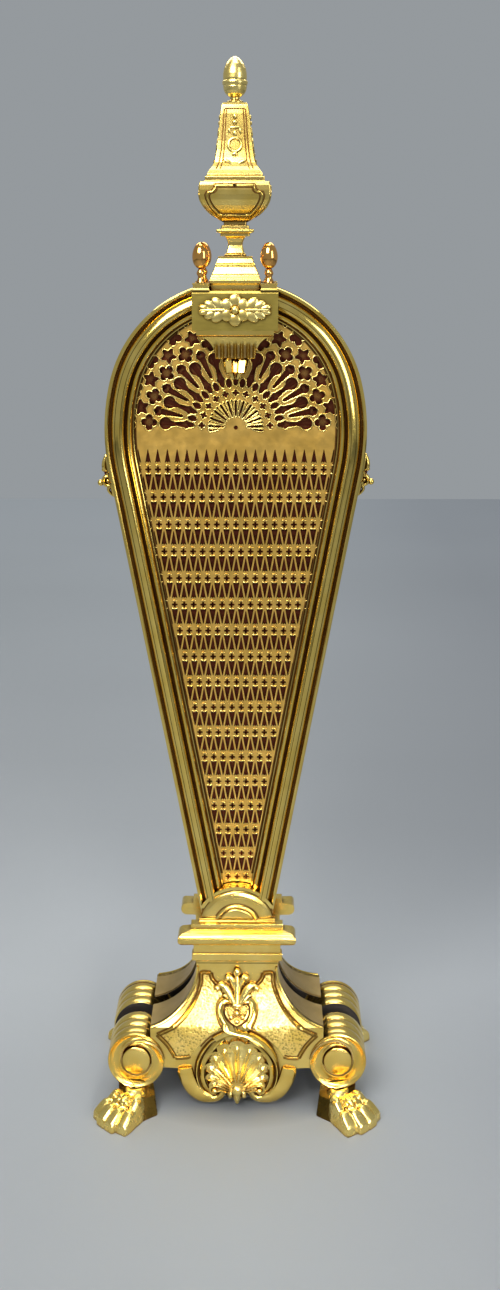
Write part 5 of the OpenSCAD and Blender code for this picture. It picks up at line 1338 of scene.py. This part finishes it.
for side, name, y in ((-1, "left", -0.75), (1, "right", 5.25)):
    def at(out, up, side=side, y=y):
        return handle_point(side, out, up, y)
    back = tube([at(1.4, v) for v in (-14, -13.4, -8, 0, 8, 14, 16.4, 17)], [0.6, 1.4, 1.7, 1.9, 1.7, 1.5, 1.2, 0.5], 12, 1.7)
    scroll = tube([at(3.6 + 3.2 * math.cos(rad(a)), -2 + 3.4 * math.sin(rad(a))) for a in range(0, 361, 20)], 1.5, 10, 1.5)
    leaf = tube(smooth_path([at(2.2, 4.5), at(4.2, 7.5), at(3.4, 11.5), at(2.0, 15)], 16), [1.2 + 0.7 * math.sin(math.pi * i / 15) for i in range(16)], 10, 1.4)
    tail = tube(smooth_path([at(3.0, -6), at(4.6, -8.4), at(3.4, -11.5), at(1.6, -13.6)], 16), [1.5 - 0.05 * i for i in range(16)], 10, 1.4)
    parts = [back, scroll, leaf, tail, blob(at(3.6, -2), (1.9, 2.2, 1.9)), blob(at(9.0, -2.4), (2.3, 2.3, 2.3)),
             tube([at(6.2, -2.2), at(7.4, -2.3), at(8.2, -2.4)], [1.5, 1.1, 1.3], 10), blob(at(5.0, 6.4), (1.5, 1.7, 1.5))]
    piece(name + "_handle_cast", parts, POLISHED, name + "_leaf_4", [name + "_handle"], sharp=60)

# ---- CAD nodes that stay ----
# The spacers between the castings are black: painted shade.
KEPT = {"crest_block": SATIN, "base_spacers": SHADE_BLACK}
for name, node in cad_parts.items():
    if node.hide_render:
        continue
    mat = KEPT.get(name)
    if mat is None:
        if name.startswith("leaf_") and name != "leaf_washers":
            mat = LEAF
        elif "rivets" in name or name == "stop_sleeves":
            mat = POLISHED
        else:
            mat = STEEL
    node.data.materials.clear()
    node.data.materials.append(mat)

# ---- stage, lights, camera ----


def graded(nodes, links, value, stops):
    """Colour along an axis in metres, between stops of (place, colour)."""
    low, high = stops[0][0], stops[-1][0]
    span = nodes.new("ShaderNodeMapRange")
    links.new(value, span.inputs["Value"])
    span.inputs["From Min"].default_value, span.inputs["From Max"].default_value = low, high
    band = nodes.new("ShaderNodeValToRGB")
    links.new(span.outputs["Result"], band.inputs["Fac"])
    marks = band.color_ramp.elements
    for n, (place, colour) in enumerate(stops):
        at = (place - low) / (high - low)
        mark = marks[0] if n == 0 else marks[-1] if n == len(stops) - 1 else marks.new(at)
        mark.position, mark.color = at, (*colour, 1)
    return band.outputs["Color"]


def stage_material(name, along, across):
    """Pale floor paper whose tone changes with the distance behind the screen and to the side of it, as painted light
    and shade, and is darker in an oval under the base, a painted shadow.
    """
    mat = bpy.data.materials.new(name)
    mat.use_nodes = True
    nodes, links = mat.node_tree.nodes, mat.node_tree.links
    shader = nodes["Principled BSDF"]
    coords = nodes.new("ShaderNodeTexCoord").outputs["Object"]
    axes = nodes.new("ShaderNodeSeparateXYZ")
    links.new(coords, axes.inputs[0])
    tone = graded(nodes, links, axes.outputs["Y"], along)
    side = graded(nodes, links, axes.outputs["X"], across)
    cloudy = ramp(nodes, links, noise(nodes, links, coords, 1.1, 3.0), 0.35, 0.7, (0.94, 0.94, 0.94, 1), (1, 1, 1, 1))
    # Darker oval under the base: painted shadow.
    oval = nodes.new("ShaderNodeMapping")
    oval.inputs["Scale"].default_value = (1 / 0.10, 1 / 0.07, 1)
    links.new(coords, oval.inputs["Vector"])
    reach = nodes.new("ShaderNodeVectorMath")
    reach.operation = "LENGTH"
    links.new(oval.outputs["Vector"], reach.inputs[0])
    painted_shadow = ramp(nodes, links, reach.outputs["Value"], 0.45, 1.0, (0.32, 0.32, 0.34, 1), (1, 1, 1, 1))
    for shade in (side, cloudy, painted_shadow):
        tone = mixed(nodes, links, 1.0, tone, shade, "MULTIPLY")
    links.new(tone, shader.inputs["Base Color"])
    shader.inputs["Roughness"].default_value = 0.7
    return mat


# Tone of the floor by metres behind the pivot, and by metres to the right of it: painted falloff of light along the
# floor, and painted shade to the right
FLOOR_ALONG = [(y, (tone, 1.07 * tone, 1.13 * tone)) for y, tone in (
    (-0.5, 0.190), (-0.1, 0.193), (0.0, 0.199), (0.15, 0.236), (0.25, 0.236), (0.36, 0.222), (0.5, 0.208),
    (0.7, 0.209), (1.0, 0.236), (1.35, 0.284), (1.6, 0.313), (2.0, 0.388), (2.6, 0.470))]
FLOOR_ACROSS = [(0.0, (1, 1, 1)), (0.45, (0.81, 0.81, 0.83))]
mesh = bpy.data.meshes.new("floor_paper")
edges_x = [-3 + 0.5 * i for i in range(13)]
edges_y = [-2.5 + 0.51 * i for i in range(11)]
mesh.from_pydata([(x, y, 0.0) for y in edges_y for x in edges_x], [],
                 [(13 * j + i, 13 * j + i + 1, 13 * j + i + 14, 13 * j + i + 13) for j in range(10) for i in range(12)])
mesh.materials.append(stage_material("paper", FLOOR_ALONG, FLOOR_ACROSS))
paper = bpy.data.objects.new("floor_paper", mesh)
scene.collection.objects.link(paper)


def area_light(name, at, target, size, power, colour=(1, 1, 1), spread=180):
    data = bpy.data.lights.new(name, "AREA")
    data.shape = "RECTANGLE"
    data.size, data.size_y = size
    data.energy = power
    data.color = colour
    data.spread = rad(spread)
    lamp = bpy.data.objects.new(name, data)
    scene.collection.objects.link(lamp)
    lamp.location = at
    lamp.rotation_euler = (Vector(target) - Vector(at)).to_track_quat("-Z", "Y").to_euler()


area_light("key", (-0.6, -1.4, 1.75), (0, 0, 0.35), (1.1, 0.9), 56, (1, 0.98, 0.94))
area_light("fill", (1.3, -1.3, 1.0), (0, 0, 0.35), (0.6, 1.2), 12, (0.94, 0.97, 1))
area_light("top", (0, 0.0, 2.2), (0, 0, 0), (1.0, 0.8), 18)
area_light("over", (0, 0.62, 1.35), (0, 0.0, 0.15), (1.5, 0.4), 8)
area_light("back", (0, 1.8, 2.2), (0, 1.8, 0), (2.5, 1.0), 10)
area_light("low", (0.30, -1.15, 0.42), (0.03, -0.06, 0.05), (0.4, 0.3), 0.45, (1, 0.98, 0.92), 22)
world = bpy.data.worlds.new("studio")
scene.world = world
world.use_nodes = True
world.node_tree.nodes["Background"].inputs["Color"].default_value = (0.300, 0.322, 0.340, 1)
world.node_tree.nodes["Background"].inputs["Strength"].default_value = 1.0
scene.view_settings.view_transform = "Standard"

camera = bpy.data.cameras.new("camera")
camera.sensor_fit = "VERTICAL"
camera.sensor_height = 36.0
camera.sensor_width = 36.0
camera.lens = 36.0 * 1370.0 / 1290.0
camera.clip_start, camera.clip_end = 0.05, 20.0
eye = bpy.data.objects.new("camera", camera)
scene.collection.objects.link(eye)
yaw = 0.4
eye.location = (0.0099 * math.cos(rad(yaw)) + 0.9717 * math.sin(rad(yaw)), -0.9717 * math.cos(rad(yaw)) + 0.0099 * math.sin(rad(yaw)), 0.6543)
eye.rotation_euler = (rad(90 - 16.47), 0, rad(yaw))
scene.camera = eye
